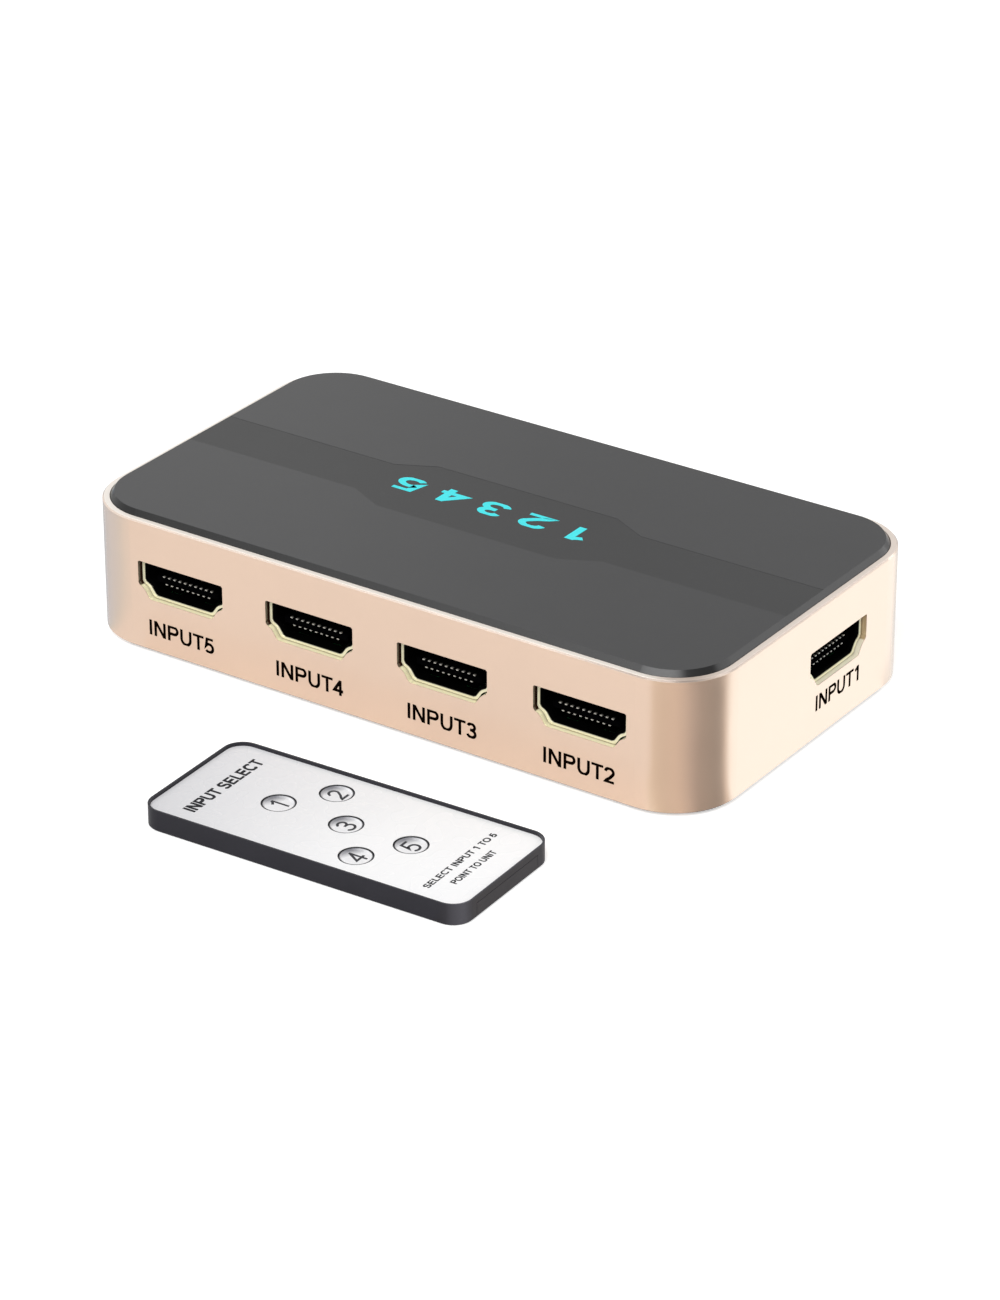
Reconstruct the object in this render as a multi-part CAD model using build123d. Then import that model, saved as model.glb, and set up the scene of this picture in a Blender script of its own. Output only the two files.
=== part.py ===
from build123d import *
import math
import os

# Five-input video switch box with its card remote, piece by piece. Millimetres, +Z up.
# The origin is on the table under the middle of the box. The four inputs in a row face -Y, the first
# input faces +X, the output and the supply jack face -X, and the user's side faces +Y.

# Case of the switch
case_length = 112.0
case_width = 63.1
case_height = 21.4
case_corner = 10.6
rim = 1.1
wall = 1.6
edge_break = 0.25
cover_rise = 0.86
cover_slope = 0.63
cover_seat = 1.5
floor_seat = 1.6
seat_gap = 0.1
skirt_height = 1.5
skirt_wall = 1.2

# Shallow band across the cover
band_depth = 0.02
band_half_width = 5.2
band_middle_half_width = 8.3
band_middle_length = 32.6
band_slope_length = 6.2

# Feet and case screws
foot_radius = 4.0
foot_thickness = 1.1
foot_proud = 0.5
foot_gap = 0.15
foot_inset_x = 18.0
foot_inset_y = 11.5
screw_inset_x = 8.0
screw_inset_y = 8.5
screw_radius = 1.1
screw_head_radius = 2.2
screw_head_height = 1.2
screw_head_depth = 1.8
screw_length = 15.5
screw_gap = 0.15
boss_radius = 3.0

# Circuit board
board_height = 9.05
board_thickness = 1.6
board_gap = 0.5

# Video receptacle: the standard 19-contact opening and its folded shell
socket_width = 14.0
socket_height = 4.55
socket_shoulder = 1.95
socket_waist = 1.35
socket_waist_width = 11.8
socket_floor_width = 9.8
socket_bend = 0.25
socket_sheet = 0.4
socket_depth = 11.3
socket_recess = 0.8
mouth_side_flare = 0.45
mouth_edge_flare = 0.3
mouth_lip = 0.3
mouth_depth = 0.6
cut_side_gap = 0.25
cut_edge_gap = 0.16
tongue_width = 11.6
tongue_thickness = 1.0
tongue_centre = 2.5
tongue_recess = 0.9
insulator_depth = 2.8
insulator_gap = 0.05
contact_pitch = 1.0
contact_width = 0.36
contact_thickness = 0.15
contact_recess = 0.1
upper_contacts = 10
lower_contacts = 9
tail_reach = 1.3
tab_width = 1.5
tab_proud = 0.6
tab_gap = 0.2
tab_places = (2.8, 8.4)
finger_width = 1.6
finger_length = 4.6
finger_slit = 0.3
finger_spacing = 6.4
finger_thickness = 0.25
finger_dip = 0.35
finger_lift = 0.2

# Where the receptacles stand
input_row = 4
input_inset = 20.0
end_input_y = 7.1
output_y = 7.1

# Supply jack
jack_y = -10.0
jack_width = 9.0
jack_height = 10.6
jack_depth = 13.4
jack_axis = 6.3
jack_nose_radius = 4.2
jack_nose_recess = 0.2
jack_bore = 3.2
jack_bore_depth = 10.0
jack_pin_radius = 1.0
jack_pin_recess = 1.2
jack_gap = 0.2
jack_spring_thickness = 0.3

# User's side: button, lamps and receiver
button_inset = 22.0
button_width = 8.0
button_height = 4.0
button_proud = 0.8
button_gap = 0.2
button_travel = 0.35
button_flange = 0.8
button_flange_thickness = 0.8
control_axis = 3.0
plunger_radius = 1.2
plunger_gap = 0.15
switch_width = 6.0
switch_depth = 3.6
switch_height = 5.0
lamp_count = 5
lamp_pitch = 6.0
lamp_axis = 1.3
lamp_nose_radius = 1.0
lamp_nose_gap = 0.15
lamp_width = 2.0
lamp_depth = 1.2
lamp_gap = 0.1
pipe_depth = 2.0
window_inset = 22.0
window_width = 8.0
window_height = 4.0
window_gap = 0.1
window_flange = 1.0
window_flange_thickness = 0.8
receiver_width = 5.0
receiver_depth = 2.6
receiver_height = 5.6
receiver_lens_radius = 1.8

# Chips and other parts on the board
lead_width = 0.3
lead_reach = 1.0
lead_thickness = 0.2
switch_chip_size = 14.0
switch_chip_height = 1.4
switch_chip_pitch = 1.0
control_chip_length = 10.0
control_chip_width = 4.0
control_chip_height = 1.5
control_chip_pitch = 1.27
regulator_length = 6.5
regulator_width = 3.5
regulator_height = 1.6
regulator_pitch = 2.3
crystal_length = 10.5
crystal_width = 4.4
crystal_height = 3.4
capacitor_radius = 3.0
capacitor_height = 7.4
capacitor_crimp = 0.4
array_length = 5.0
array_width = 1.4
array_height = 0.9

# Card remote
remote_length = 54.4
remote_width = 24.1
remote_height = 3.4
remote_corner = 3.2
remote_turn = 1.886
remote_x = 16.6
remote_gap = 30.45
remote_wall = 1.0
remote_lip = 0.3
remote_floor = 0.5
remote_lip_rise = 0.5
face_thickness = 0.3
face_gap = 0.05
key_radius = 2.4
key_gap = 0.2
key_sink = 0.1
key_rim = 0.15
key_dish = 0.2
key_flange = 0.25
key_flange_thickness = 0.25
key_flange_gap = 0.1
key_stem_radius = 1.0
key_travel = 0.2
key_stem_gap = 0.02
dome_radius = 1.4
dome_height = 0.18
key_end_gap = 1.3
key_places = ((-0.415, 0.0), (-0.316, 0.282), (-0.202, 0.0), (-0.088, -0.278), (0.0, 0.0))
remote_board_height = 1.1
remote_board_thickness = 0.5
remote_board_gap = 0.4
remote_board_start = 3.6
remote_board_end_gap = 0.5
remote_chip_length = 4.0
remote_chip_width = 3.0
remote_chip_height = 0.7
cell_radius = 6.25
cell_height = 1.6
cell_gap = 0.15
tray_floor = 0.35
tray_wall = 0.4
tray_height = 1.7
tray_face = 1.0
tray_face_width = 15.6
tray_face_height = 2.3
tray_gap = 0.15
tray_seam = 0.08
tray_grip = 2.5
tray_wing = 0.7
tray_wing_thickness = 0.3
tray_wing_gap = 0.1
emitter_radius = 0.75
emitter_gap = 0.1
emitter_height = 1.7
emitter_length = 3.2
emitter_proud = 0.3

# Levels and lines worked out from the sizes above
base_z = foot_proud
rim_z = base_z + case_height
cover_top_z = rim_z + cover_rise
cover_under_z = rim_z - cover_seat
floor_top_z = base_z + floor_seat
board_top_z = base_z + board_height
board_under_z = board_top_z - board_thickness
half_length = case_length / 2
half_width = case_width / 2
board_inset = wall + board_gap
input_pitch = (case_length - 2 * input_inset) / (input_row - 1)
button_x = -half_length + button_inset
window_x = half_length - window_inset
boss_spots = [(x, y)
              for x in (-half_length + screw_inset_x, half_length - screw_inset_x)
              for y in (-half_width + screw_inset_y, half_width - screw_inset_y)]
foot_spots = [(x, y)
              for x in (-half_length + foot_inset_x, half_length - foot_inset_x)
              for y in (-half_width + foot_inset_y, half_width - foot_inset_y)]
control_z = board_top_z + control_axis
lamp_z = board_top_z + lamp_axis
lamp_spots = [(number - (lamp_count - 1) / 2) * lamp_pitch for number in range(lamp_count)]
inner_wall_y = half_width - wall
key_hole_radius = key_radius + key_gap


def case_slab(inset, low, high):
    """Returns a slab with the case's outline, drawn in by the inset."""
    outline = RectangleRounded(case_length - 2 * inset, case_width - 2 * inset, case_corner - inset)
    return Pos(0, 0, low) * extrude(outline, high - low)


def rod(radius, low, high, x=0.0, y=0.0):
    """Returns an upright cylinder between two heights."""
    return Pos(x, y, (low + high) / 2) * Cylinder(radius, high - low)


def block(low_corner, high_corner):
    """Returns a box between two opposite corners."""
    size = [high - low for low, high in zip(low_corner, high_corner)]
    middle = [(high + low) / 2 for low, high in zip(low_corner, high_corner)]
    return Pos(*middle) * Box(*size)


def through_y(face, start, end):
    """Extrudes a face drawn in X and Z from one Y to another."""
    return Pos(0, start, 0) * extrude(Plane.XZ * face, -(end - start))


def capsule_y(width, height, x, z, start, end):
    """Returns a slot-shaped plug along Y."""
    outline = RectangleRounded(width, height, height / 2 - 0.01)
    return Pos(x, 0, z) * through_y(outline, start, end)


def rod_y(radius, x, z, start, end):
    """Returns a cylinder along Y."""
    return Pos(x, 0, z) * through_y(Circle(radius), start, end)


# Video receptacle, drawn with its front at Y = 0, its depth along +Y and the board's top at Z = 0

def socket_outline(side_growth, edge_growth):
    """Returns the receptacle's six-sided outline with stepped lower corners."""
    side = socket_width / 2 + side_growth
    waist = socket_waist_width / 2 + side_growth
    floor = socket_floor_width / 2 + side_growth
    top = socket_height + edge_growth
    shoulder_z = socket_shoulder - 0.75 * edge_growth
    waist_z = socket_waist - 0.75 * edge_growth
    half = [(side, top), (side, shoulder_z), (waist, waist_z), (floor, -edge_growth)]
    mirrored = [(-x, z) for x, z in reversed(half)]
    face = make_face(Polyline(*half, *mirrored, close=True))
    return Pos(0, socket_sheet) * chamfer(face.vertices(), socket_bend)


def socket_tabs(gap, low, high):
    """Returns the four tabs of a shell, or with a gap the slots that they pass."""
    tabs = []
    for side in (-1, 1):
        outer = socket_width / 2 + socket_sheet
        x_low, x_high = sorted((side * (outer - socket_sheet), side * outer))
        for start in tab_places:
            tabs.append(block((x_low - gap, start - gap, low), (x_high + gap, start + tab_width + gap, high)))
    return tabs


def spring_finger(middle, inner, outward):
    """Returns the window in a shell wall and the bent spring finger that fills most of it."""
    start = socket_sheet + tab_width
    end = start + finger_length
    outer_half = finger_width / 2 + finger_slit
    z_low, z_high = sorted((inner - outward * socket_sheet / 2, inner + outward * 1.5 * socket_sheet))
    window = block((middle - outer_half, start, z_low), (middle + outer_half, end, z_high))
    tip = start + finger_slit
    crest = tip + finger_length / 4
    root = end + socket_sheet
    depths = [(root, socket_sheet / 8), (crest, -finger_dip), (tip, finger_lift - finger_dip)]
    lower = [(y, inner + outward * depth) for y, depth in depths]
    upper = [(y, inner + outward * (depth + finger_thickness)) for y, depth in reversed(depths)]
    profile = make_face(Polyline(*lower, *upper, close=True))
    finger = Pos(middle - finger_width / 2, 0, 0) * extrude(Plane.YZ * profile, finger_width)
    return window, finger


def flared_mouth(side_growth, edge_growth, end_growth):
    """Returns the plug between a grown outline at the front and a smaller one at the mouth's end."""
    front = Plane.XZ * socket_outline(side_growth, edge_growth)
    end = Pos(0, mouth_depth, 0) * (Plane.XZ * socket_outline(end_growth, end_growth))
    return loft([front, end], ruled=True)


def socket_shell():
    """Returns the folded shell with its flared mouth, and two spring fingers each in top and floor."""
    shell = through_y(socket_outline(socket_sheet, socket_sheet), 0, socket_depth)
    shell += flared_mouth(mouth_side_flare + mouth_lip, mouth_edge_flare + mouth_lip, socket_sheet)
    shell -= through_y(socket_outline(0, 0), 0, socket_depth)
    shell -= flared_mouth(mouth_side_flare, mouth_edge_flare, 0)
    tab_root = socket_sheet + socket_shoulder + tab_width / 2
    for tab in socket_tabs(0, -board_thickness - tab_proud, tab_root):
        shell += tab
    walls = ((socket_sheet + socket_height, 1), (socket_sheet, -1))
    for inner, outward in walls:
        for side in (-1, 1):
            window, finger = spring_finger(side * finger_spacing / 2, inner, outward)
            shell -= window
            shell += finger
    return shell


def socket_insulator():
    """Returns the moulded block with its tongue and the two slots that the contacts pass."""
    front = socket_depth - insulator_depth
    body = through_y(socket_outline(-insulator_gap, -insulator_gap), front, socket_depth)
    low = tongue_centre - tongue_thickness / 2
    high = tongue_centre + tongue_thickness / 2
    tongue = block((-tongue_width / 2, tongue_recess, low), (tongue_width / 2, front + insulator_gap, high))
    tip = tongue.faces().sort_by(Axis.Y)[0]
    tongue = chamfer(tip.edges(), tongue_thickness / 5)
    body += tongue
    slot = upper_contacts * contact_pitch / 2
    body -= block((-slot, front, high), (slot, socket_depth, high + contact_thickness))
    body -= block((-slot, front, low - contact_thickness), (slot, socket_depth, low))
    return body


def socket_contacts():
    """Returns the contacts: strips along both sides of the tongue with feet on the board."""
    start = tongue_recess + contact_recess
    bend = socket_depth + contact_thickness
    end = socket_depth + tail_reach
    contacts = []
    rows = ((upper_contacts, tongue_centre + tongue_thickness / 2),
            (lower_contacts, tongue_centre - tongue_thickness / 2 - contact_thickness))
    for count, level in rows:
        top = level + contact_thickness
        inner = bend + contact_thickness
        profile = Polyline((start, level), (bend, level), (bend, 0), (end, 0), (end, contact_thickness),
                           (inner, contact_thickness), (inner, top), (start, top), close=True)
        strip = extrude(Plane.YZ * make_face(profile), contact_width)
        for number in range(count):
            place = (number - (count - 1) / 2) * contact_pitch - contact_width / 2
            contacts.append(Pos(place, 0, 0) * strip)
    return contacts


front_line = half_width - socket_recess
end_line = half_length - socket_recess
socket_places = {
    "input_1": Pos(end_line, end_input_y, board_top_z) * Rot(0, 0, 90),
    "input_2": Pos(1.5 * input_pitch, -front_line, board_top_z),
    "input_3": Pos(0.5 * input_pitch, -front_line, board_top_z),
    "input_4": Pos(-0.5 * input_pitch, -front_line, board_top_z),
    "input_5": Pos(-1.5 * input_pitch, -front_line, board_top_z),
    "output": Pos(-end_line, output_y, board_top_z) * Rot(0, 0, -90),
}


def socket_cut():
    """Returns the plug that opens a case wall in front of a receptacle."""
    grow_side = mouth_side_flare + mouth_lip + cut_side_gap
    grow_edge = mouth_edge_flare + mouth_lip + cut_edge_gap
    return through_y(socket_outline(grow_side, grow_edge), -2 * socket_recess, wall + edge_break)


# Supply jack, drawn with the case's outer wall at Y = 0 and the board's top at Z = 0

jack_body_front = wall + jack_gap
jack_body_back = jack_body_front + jack_depth
jack_bore_end = jack_nose_recess + jack_bore_depth
jack_place = Pos(-half_length, jack_y, board_top_z) * Rot(0, 0, -90)


def jack_body():
    """Returns the moulded jack with its round nose, bore and contact window."""
    body = block((-jack_width / 2, jack_body_front, 0), (jack_width / 2, jack_body_back, jack_height))
    body = chamfer(body.edges().filter_by(Axis.Y).group_by(Axis.Z)[-1], jack_gap * 3)
    body += rod_y(jack_nose_radius, 0, jack_axis, jack_nose_recess, jack_body_front + jack_gap)
    body -= rod_y(jack_bore, 0, jack_axis, jack_nose_recess, jack_bore_end)
    window_start = jack_bore_end / 2
    window = block((0, window_start, 0), (jack_width, jack_bore_end, jack_axis))
    body -= window & rod_y(jack_bore + 2 * jack_spring_thickness, 0, jack_axis, window_start, jack_bore_end)
    body -= rod_y(jack_pin_radius, 0, jack_axis, jack_bore_end, jack_body_back)
    return body


def jack_pin():
    """Returns the centre pin with a domed tip and its solder blade."""
    start = jack_nose_recess + jack_pin_recess
    pin = rod_y(jack_pin_radius, 0, jack_axis, start + jack_pin_radius, jack_body_back)
    pin += Pos(0, start + jack_pin_radius, jack_axis) * Sphere(jack_pin_radius)
    back = jack_body_back + jack_spring_thickness
    pin += block((-jack_pin_radius, jack_body_back, -board_thickness - tab_proud),
                 (jack_pin_radius, back, jack_axis + jack_pin_radius))
    return pin


def jack_spring():
    """Returns the curved side contact in the lower quarter of the bore."""
    start = jack_bore_end / 2 + jack_gap
    end = jack_bore_end - jack_gap
    ring = Circle(jack_bore + jack_spring_thickness) - Circle(jack_bore + jack_spring_thickness / 3)
    strip = Pos(0, 0, jack_axis) * through_y(ring, start, end)
    side = jack_bore * math.sin(math.radians(45))
    quarter = block((side / 3, start, jack_axis - jack_bore - 1), (side * 1.2, end, jack_axis - side / 3))
    return strip & quarter


# Case

def band_outline():
    """Returns the band across the cover, wider in the middle with slanted steps."""
    reach = half_length + case_corner
    inner = band_middle_length / 2
    outer = inner + band_slope_length
    quarter = [(reach, band_half_width), (outer, band_half_width), (inner, band_middle_half_width)]
    upper = quarter + [(-x, y) for x, y in reversed(quarter)]
    lower = [(-x, -y) for x, y in upper]
    return make_face(Polyline(*upper, *lower, close=True))


def make_side_frame():
    """Returns the metal ring with its ledges and every cut-out."""
    ring = case_slab(0, base_z, rim_z)
    ring = chamfer(ring.faces().sort_by(Axis.Z)[-1].edges(), edge_break)
    ring = chamfer(ring.faces().sort_by(Axis.Z)[0].edges(), edge_break)
    ring -= case_slab(wall, base_z, rim_z)
    ring -= case_slab(rim, cover_under_z, rim_z)
    ring -= case_slab(rim, base_z, floor_top_z)
    for place in socket_places.values():
        ring -= place * socket_cut()
    ring -= jack_place * rod_y(jack_nose_radius + jack_gap, 0, jack_axis, -wall, 2 * wall)
    ring -= capsule_y(button_width + 2 * button_gap, button_height + 2 * button_gap, button_x, control_z,
                      inner_wall_y - wall, half_width + wall)
    ring -= capsule_y(window_width + 2 * window_gap, window_height + 2 * window_gap, window_x, control_z,
                      inner_wall_y - wall, half_width + wall)
    for x in lamp_spots:
        ring -= rod_y(lamp_nose_radius + lamp_nose_gap, x, lamp_z, inner_wall_y - wall, half_width + wall)
    return ring


def make_top_cover():
    """Returns the dark cover with sloped edges, shallow band, skirt and screw bosses."""
    inset = rim + seat_gap
    cover = case_slab(inset, cover_under_z, rim_z)
    crown = RectangleRounded(case_length - 2 * inset, case_width - 2 * inset, case_corner - inset)
    slope = math.degrees(math.atan(cover_slope / cover_rise))
    cover += Pos(0, 0, rim_z) * extrude(crown, cover_rise, taper=slope)
    band = Pos(0, 0, cover_top_z - band_depth) * extrude(band_outline(), 1)
    cover -= band
    skirt_inset = wall + seat_gap
    skirt = case_slab(skirt_inset, cover_under_z - skirt_height, cover_under_z)
    skirt -= case_slab(skirt_inset + skirt_wall, cover_under_z - skirt_height, cover_under_z)
    notch = jack_width / 2 + jack_gap
    skirt -= block((-half_length, jack_y - notch, board_top_z), (0, jack_y + notch, cover_under_z))
    cover += skirt
    for x, y in boss_spots:
        cover += rod(boss_radius, board_top_z, cover_under_z, x, y)
    for x, y in boss_spots:
        cover -= rod(screw_radius + screw_gap / 3, board_top_z, cover_under_z, x, y)
    return cover


def make_bottom_cover():
    """Returns the dark floor with posts, screw counterbores and foot pockets."""
    floor = case_slab(rim + seat_gap, base_z, floor_top_z)
    skirt_inset = wall + seat_gap
    floor += case_slab(skirt_inset, floor_top_z, floor_top_z + skirt_height)
    floor -= case_slab(skirt_inset + skirt_wall, floor_top_z, floor_top_z + skirt_height)
    for x, y in boss_spots:
        floor += rod(boss_radius, floor_top_z, board_under_z, x, y)
    for x, y in boss_spots:
        floor -= rod(screw_head_radius + screw_gap, base_z, base_z + screw_head_depth, x, y)
        floor -= rod(screw_radius + screw_gap, base_z, board_under_z, x, y)
    for x, y in foot_spots:
        floor -= rod(foot_radius + foot_gap, base_z, foot_thickness, x, y)
    return floor


def make_rubber_feet():
    """Returns four round feet with broken lower edges."""
    foot = rod(foot_radius, 0, foot_thickness)
    foot = chamfer(foot.edges().filter_by(GeomType.CIRCLE).sort_by(Axis.Z)[0], foot_proud / 2)
    return [Pos(x, y, 0) * foot for x, y in foot_spots]


def make_case_screws():
    """Returns four screws that join the floor, the board and the cover."""
    seat = base_z + screw_head_depth
    screw = rod(screw_head_radius, seat - screw_head_height, seat)
    screw += rod(screw_radius, seat, seat + screw_length)
    return [Pos(x, y, 0) * screw for x, y in boss_spots]


def make_main_board():
    """Returns the board with its screw holes and the slots for tabs and blades."""
    board = case_slab(board_inset, board_under_z, board_top_z)
    for x, y in boss_spots:
        board -= rod(screw_radius + screw_gap, board_under_z, board_top_z, x, y)
    for place in socket_places.values():
        for slot in socket_tabs(tab_gap, -board_thickness, 0):
            board -= place * slot
    blade = jack_pin_radius + tab_gap
    board -= jack_place * block((-blade, jack_body_back - tab_gap, -board_thickness),
                                (blade, jack_body_back + jack_spring_thickness + tab_gap, 0))
    return board


# User's side

def make_select_button():
    """Returns the cap: a capsule in the wall with a flange behind it."""
    flange_back = inner_wall_y - button_gap - button_flange_thickness
    cap = capsule_y(button_width, button_height, button_x, control_z,
                    flange_back, half_width + button_proud)
    front = cap.faces().sort_by(Axis.Y)[-1]
    cap = fillet(front.edges(), button_proud / 2)
    cap += capsule_y(button_width + 2 * button_flange, button_height + 2 * button_flange, button_x, control_z,
                     flange_back, flange_back + button_flange_thickness)
    return cap


button_back = inner_wall_y - button_gap - button_flange_thickness
switch_front = button_back - button_travel - 3 * button_gap
plunger_back = switch_front - 2 * button_gap


def make_tact_switch_base():
    """Returns the push switch's body with its blind plunger hole."""
    base = block((button_x - switch_width / 2, switch_front - switch_depth, board_top_z),
                 (button_x + switch_width / 2, switch_front, board_top_z + switch_height))
    hole_end = plunger_back - button_travel - plunger_gap
    base -= rod_y(plunger_radius + plunger_gap, button_x, control_z, hole_end, switch_front)
    return base


def make_tact_switch_plunger():
    """Returns the plunger between the push switch and the cap."""
    return rod_y(plunger_radius, button_x, control_z, plunger_back, button_back)


def make_light_pipe():
    """Returns the clear bar with one nose for each lamp."""
    back = inner_wall_y - lamp_nose_gap - pipe_depth
    half_bar = (lamp_count - 1) / 2 * lamp_pitch + lamp_nose_radius + lamp_axis / 2
    pipe = block((-half_bar, back, board_top_z), (half_bar, back + pipe_depth, board_top_z + 2 * lamp_axis))
    for x in lamp_spots:
        pipe += rod_y(lamp_nose_radius, x, lamp_z, back + pipe_depth / 2, half_width)
    return pipe


def make_status_leds():
    """Returns the small lamps behind the light pipe."""
    front = inner_wall_y - lamp_nose_gap - pipe_depth - lamp_gap
    lamps = []
    for x in lamp_spots:
        lamp = block((x - lamp_width / 2, front - lamp_depth, board_top_z),
                     (x + lamp_width / 2, front - lamp_depth / 3, lamp_z + lamp_axis / 2))
        lens = block((x - lamp_width / 4, front - lamp_depth / 3, lamp_z - lamp_axis / 2),
                     (x + lamp_width / 4, front, lamp_z + lamp_axis / 4))
        lamps.append(lamp + lens)
    return lamps


def make_ir_window():
    """Returns the dark window: a capsule in the wall with a flange behind it."""
    flange_front = inner_wall_y
    flange_back = flange_front - window_flange_thickness
    window = capsule_y(window_width, window_height, window_x, control_z, flange_back, half_width)
    window += capsule_y(window_width + 2 * window_flange, window_height + 2 * window_flange, window_x,
                        control_z + window_flange / 2, flange_back, flange_front)
    return window


def make_ir_receiver():
    """Returns the receiver: a block on the board with a round lens."""
    front = inner_wall_y - window_flange_thickness - receiver_lens_radius / 2 - lamp_gap
    body = block((window_x - receiver_width / 2, front - receiver_depth, board_top_z),
                 (window_x + receiver_width / 2, front, board_top_z + receiver_height))
    lens = Pos(window_x, front, control_z) * Sphere(receiver_lens_radius)
    lens &= block((window_x - receiver_width, front - receiver_depth / 2, board_top_z),
                  (window_x + receiver_width, front + receiver_lens_radius / 2, cover_under_z))
    return body + lens


# Chips and other parts on the board

def on_board(along, across):
    """Returns a place on the board, in shares of the case's half length and half width."""
    return Pos(along * half_length, across * half_width, board_top_z)


def chip(length, width, height, leads, pitch, all_round=False):
    """Returns a chip body with straight leads on two or four sides."""
    standoff = lead_thickness / 2
    body = Pos(0, 0, standoff + (height - standoff) / 2) * Box(length, width, height - standoff)
    foot = Box(lead_width, lead_reach, lead_thickness, align=(Align.CENTER, Align.MIN, Align.MIN))
    sides = [(0, width)]
    if all_round:
        sides.append((90, length))
    for turn, depth in sides:
        for flip in (0, 180):
            for number in range(leads):
                along = (number - (leads - 1) / 2) * pitch
                body += Rot(0, 0, turn + flip) * Pos(along, depth / 2, 0) * foot
    return body


def make_board_parts():
    """Returns the parts in the middle of the board by name."""
    side = switch_chip_size
    switch_chip = chip(side, side, switch_chip_height, 12, switch_chip_pitch, all_round=True)
    control_chip = chip(control_chip_length, control_chip_width, control_chip_height, 7, control_chip_pitch)
    regulator = chip(regulator_length, regulator_width, regulator_height, 3, regulator_pitch)
    crystal_end = crystal_width / 2 - 0.1
    crystal = extrude(RectangleRounded(crystal_length, crystal_width, crystal_end), crystal_height)
    can = rod(capacitor_radius, 0, capacitor_height)
    can = chamfer(can.edges().filter_by(GeomType.CIRCLE).sort_by(Axis.Z)[-1], capacitor_crimp)
    array = Pos(0, 0, array_height / 2) * Box(array_length, array_width, array_height)
    array_front = socket_depth + tail_reach + array_width
    return {
        "switch_chip": on_board(0.11, 0.06) * switch_chip,
        "control_chip": on_board(-0.29, 0.29) * control_chip,
        "voltage_regulator": on_board(-0.43, -0.13) * regulator,
        "crystal": on_board(-0.29, 0.06) * crystal,
        "capacitors": [on_board(-0.54, across) * can for across in (0.19, 0.44)],
        "surge_arrays": [place * Pos(0, array_front, 0) * array for place in socket_places.values()],
    }


# Card remote, drawn with its middle at the origin and its tail towards +X

remote_place = Pos(remote_x, -half_width - remote_gap, 0) * Rot(0, 0, remote_turn)
remote_half = remote_length / 2
face_top = remote_height - remote_lip_rise
face_under = face_top - face_thickness
key_top = face_top - key_sink
key_flange_top = face_under - key_flange_gap
remote_board_top = remote_board_height + remote_board_thickness
cell_x = remote_half - tray_face - cell_gap / 3 - cell_gap - cell_radius
tray_start = cell_x - cell_radius - cell_gap - tray_wall / 2
tray_width = 2 * (cell_radius + cell_gap + tray_wall)
remote_board_end = tray_start - tray_gap - remote_board_end_gap
key_end_x = remote_board_end - key_end_gap
key_spots = [(key_end_x + along * remote_length, across * remote_width) for along, across in key_places]


def card(inset, low, high):
    """Returns a slab with the remote's outline, drawn in by the inset."""
    outline = RectangleRounded(remote_length - 2 * inset, remote_width - 2 * inset, remote_corner - inset)
    return Pos(0, 0, low) * extrude(outline, high - low)


def make_remote_case():
    """Returns the remote's case: a thin lip round the face and an open slot for the tray."""
    case = card(0, 0, remote_height)
    case = chamfer(case.faces().sort_by(Axis.Z)[0].edges(), edge_break)
    case -= card(remote_wall, remote_floor, face_under)
    case -= card(remote_lip, face_under, remote_height)
    for x in (-remote_half + 2 * remote_board_start, remote_board_end - remote_board_start):
        for y in (-remote_width / 3, remote_width / 3):
            case += rod(remote_wall, remote_floor, remote_board_height, x, y)
    floor_slot = tray_width / 2 + tray_gap
    case -= block((tray_start - tray_gap, -floor_slot, 0), (remote_half, floor_slot, remote_floor))
    mouth = tray_face_width / 2 + tray_seam
    mouth_start = remote_half - remote_wall
    case -= block((mouth_start, -mouth, 0), (remote_half, mouth, tray_face_height + tray_seam))
    hole = Pos(-remote_half + remote_wall / 2, 0, emitter_height) * Rot(0, 90, 0)
    case -= hole * Cylinder(emitter_radius + emitter_gap, 2 * remote_wall)
    return case


def make_remote_face():
    """Returns the face plate with a hole for each key."""
    face = card(remote_lip + face_gap, face_under, face_top)
    for x, y in key_spots:
        face -= rod(key_hole_radius, face_under, face_top, x, y)
    return face


def make_remote_key():
    """Returns one key: a dished disc with a rim, a flange under the face and a short stem."""
    stem_end = remote_board_top + dome_height + key_travel + key_stem_gap
    flange_low = key_flange_top - key_flange_thickness
    flange_radius = key_radius + key_flange
    dish_radius = key_radius - key_rim
    profile = Polyline((0, stem_end), (key_stem_radius, stem_end), (key_stem_radius, flange_low),
                       (flange_radius, flange_low), (flange_radius, key_flange_top),
                       (key_radius, key_flange_top), (key_radius, key_top), (dish_radius, key_top),
                       (dish_radius - key_dish, key_top - key_dish), (0, key_top - key_dish), close=True)
    return revolve(Plane.XZ * make_face(profile), Axis.Z)


def make_key_domes():
    """Returns one snap dome under each key, raised like a shallow cone."""
    dome = Cone(dome_radius, dome_radius / 2, dome_height)
    middle = remote_board_top + dome_height / 2
    return [Pos(x, y, middle) * dome for x, y in key_spots]


def make_remote_board():
    """Returns the remote's board, which ends in front of the coin cell."""
    half = remote_width / 2 - remote_wall - remote_board_gap
    return block((-remote_half + remote_board_start, -half, remote_board_height),
                 (remote_board_end, half, remote_board_top))


def make_remote_chip():
    """Returns the remote's only chip, behind the emitter."""
    start = -remote_half + 2 * remote_board_start
    return block((start, -remote_chip_width / 2, remote_board_top),
                 (start + remote_chip_length, remote_chip_width / 2, remote_board_top + remote_chip_height))


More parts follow.
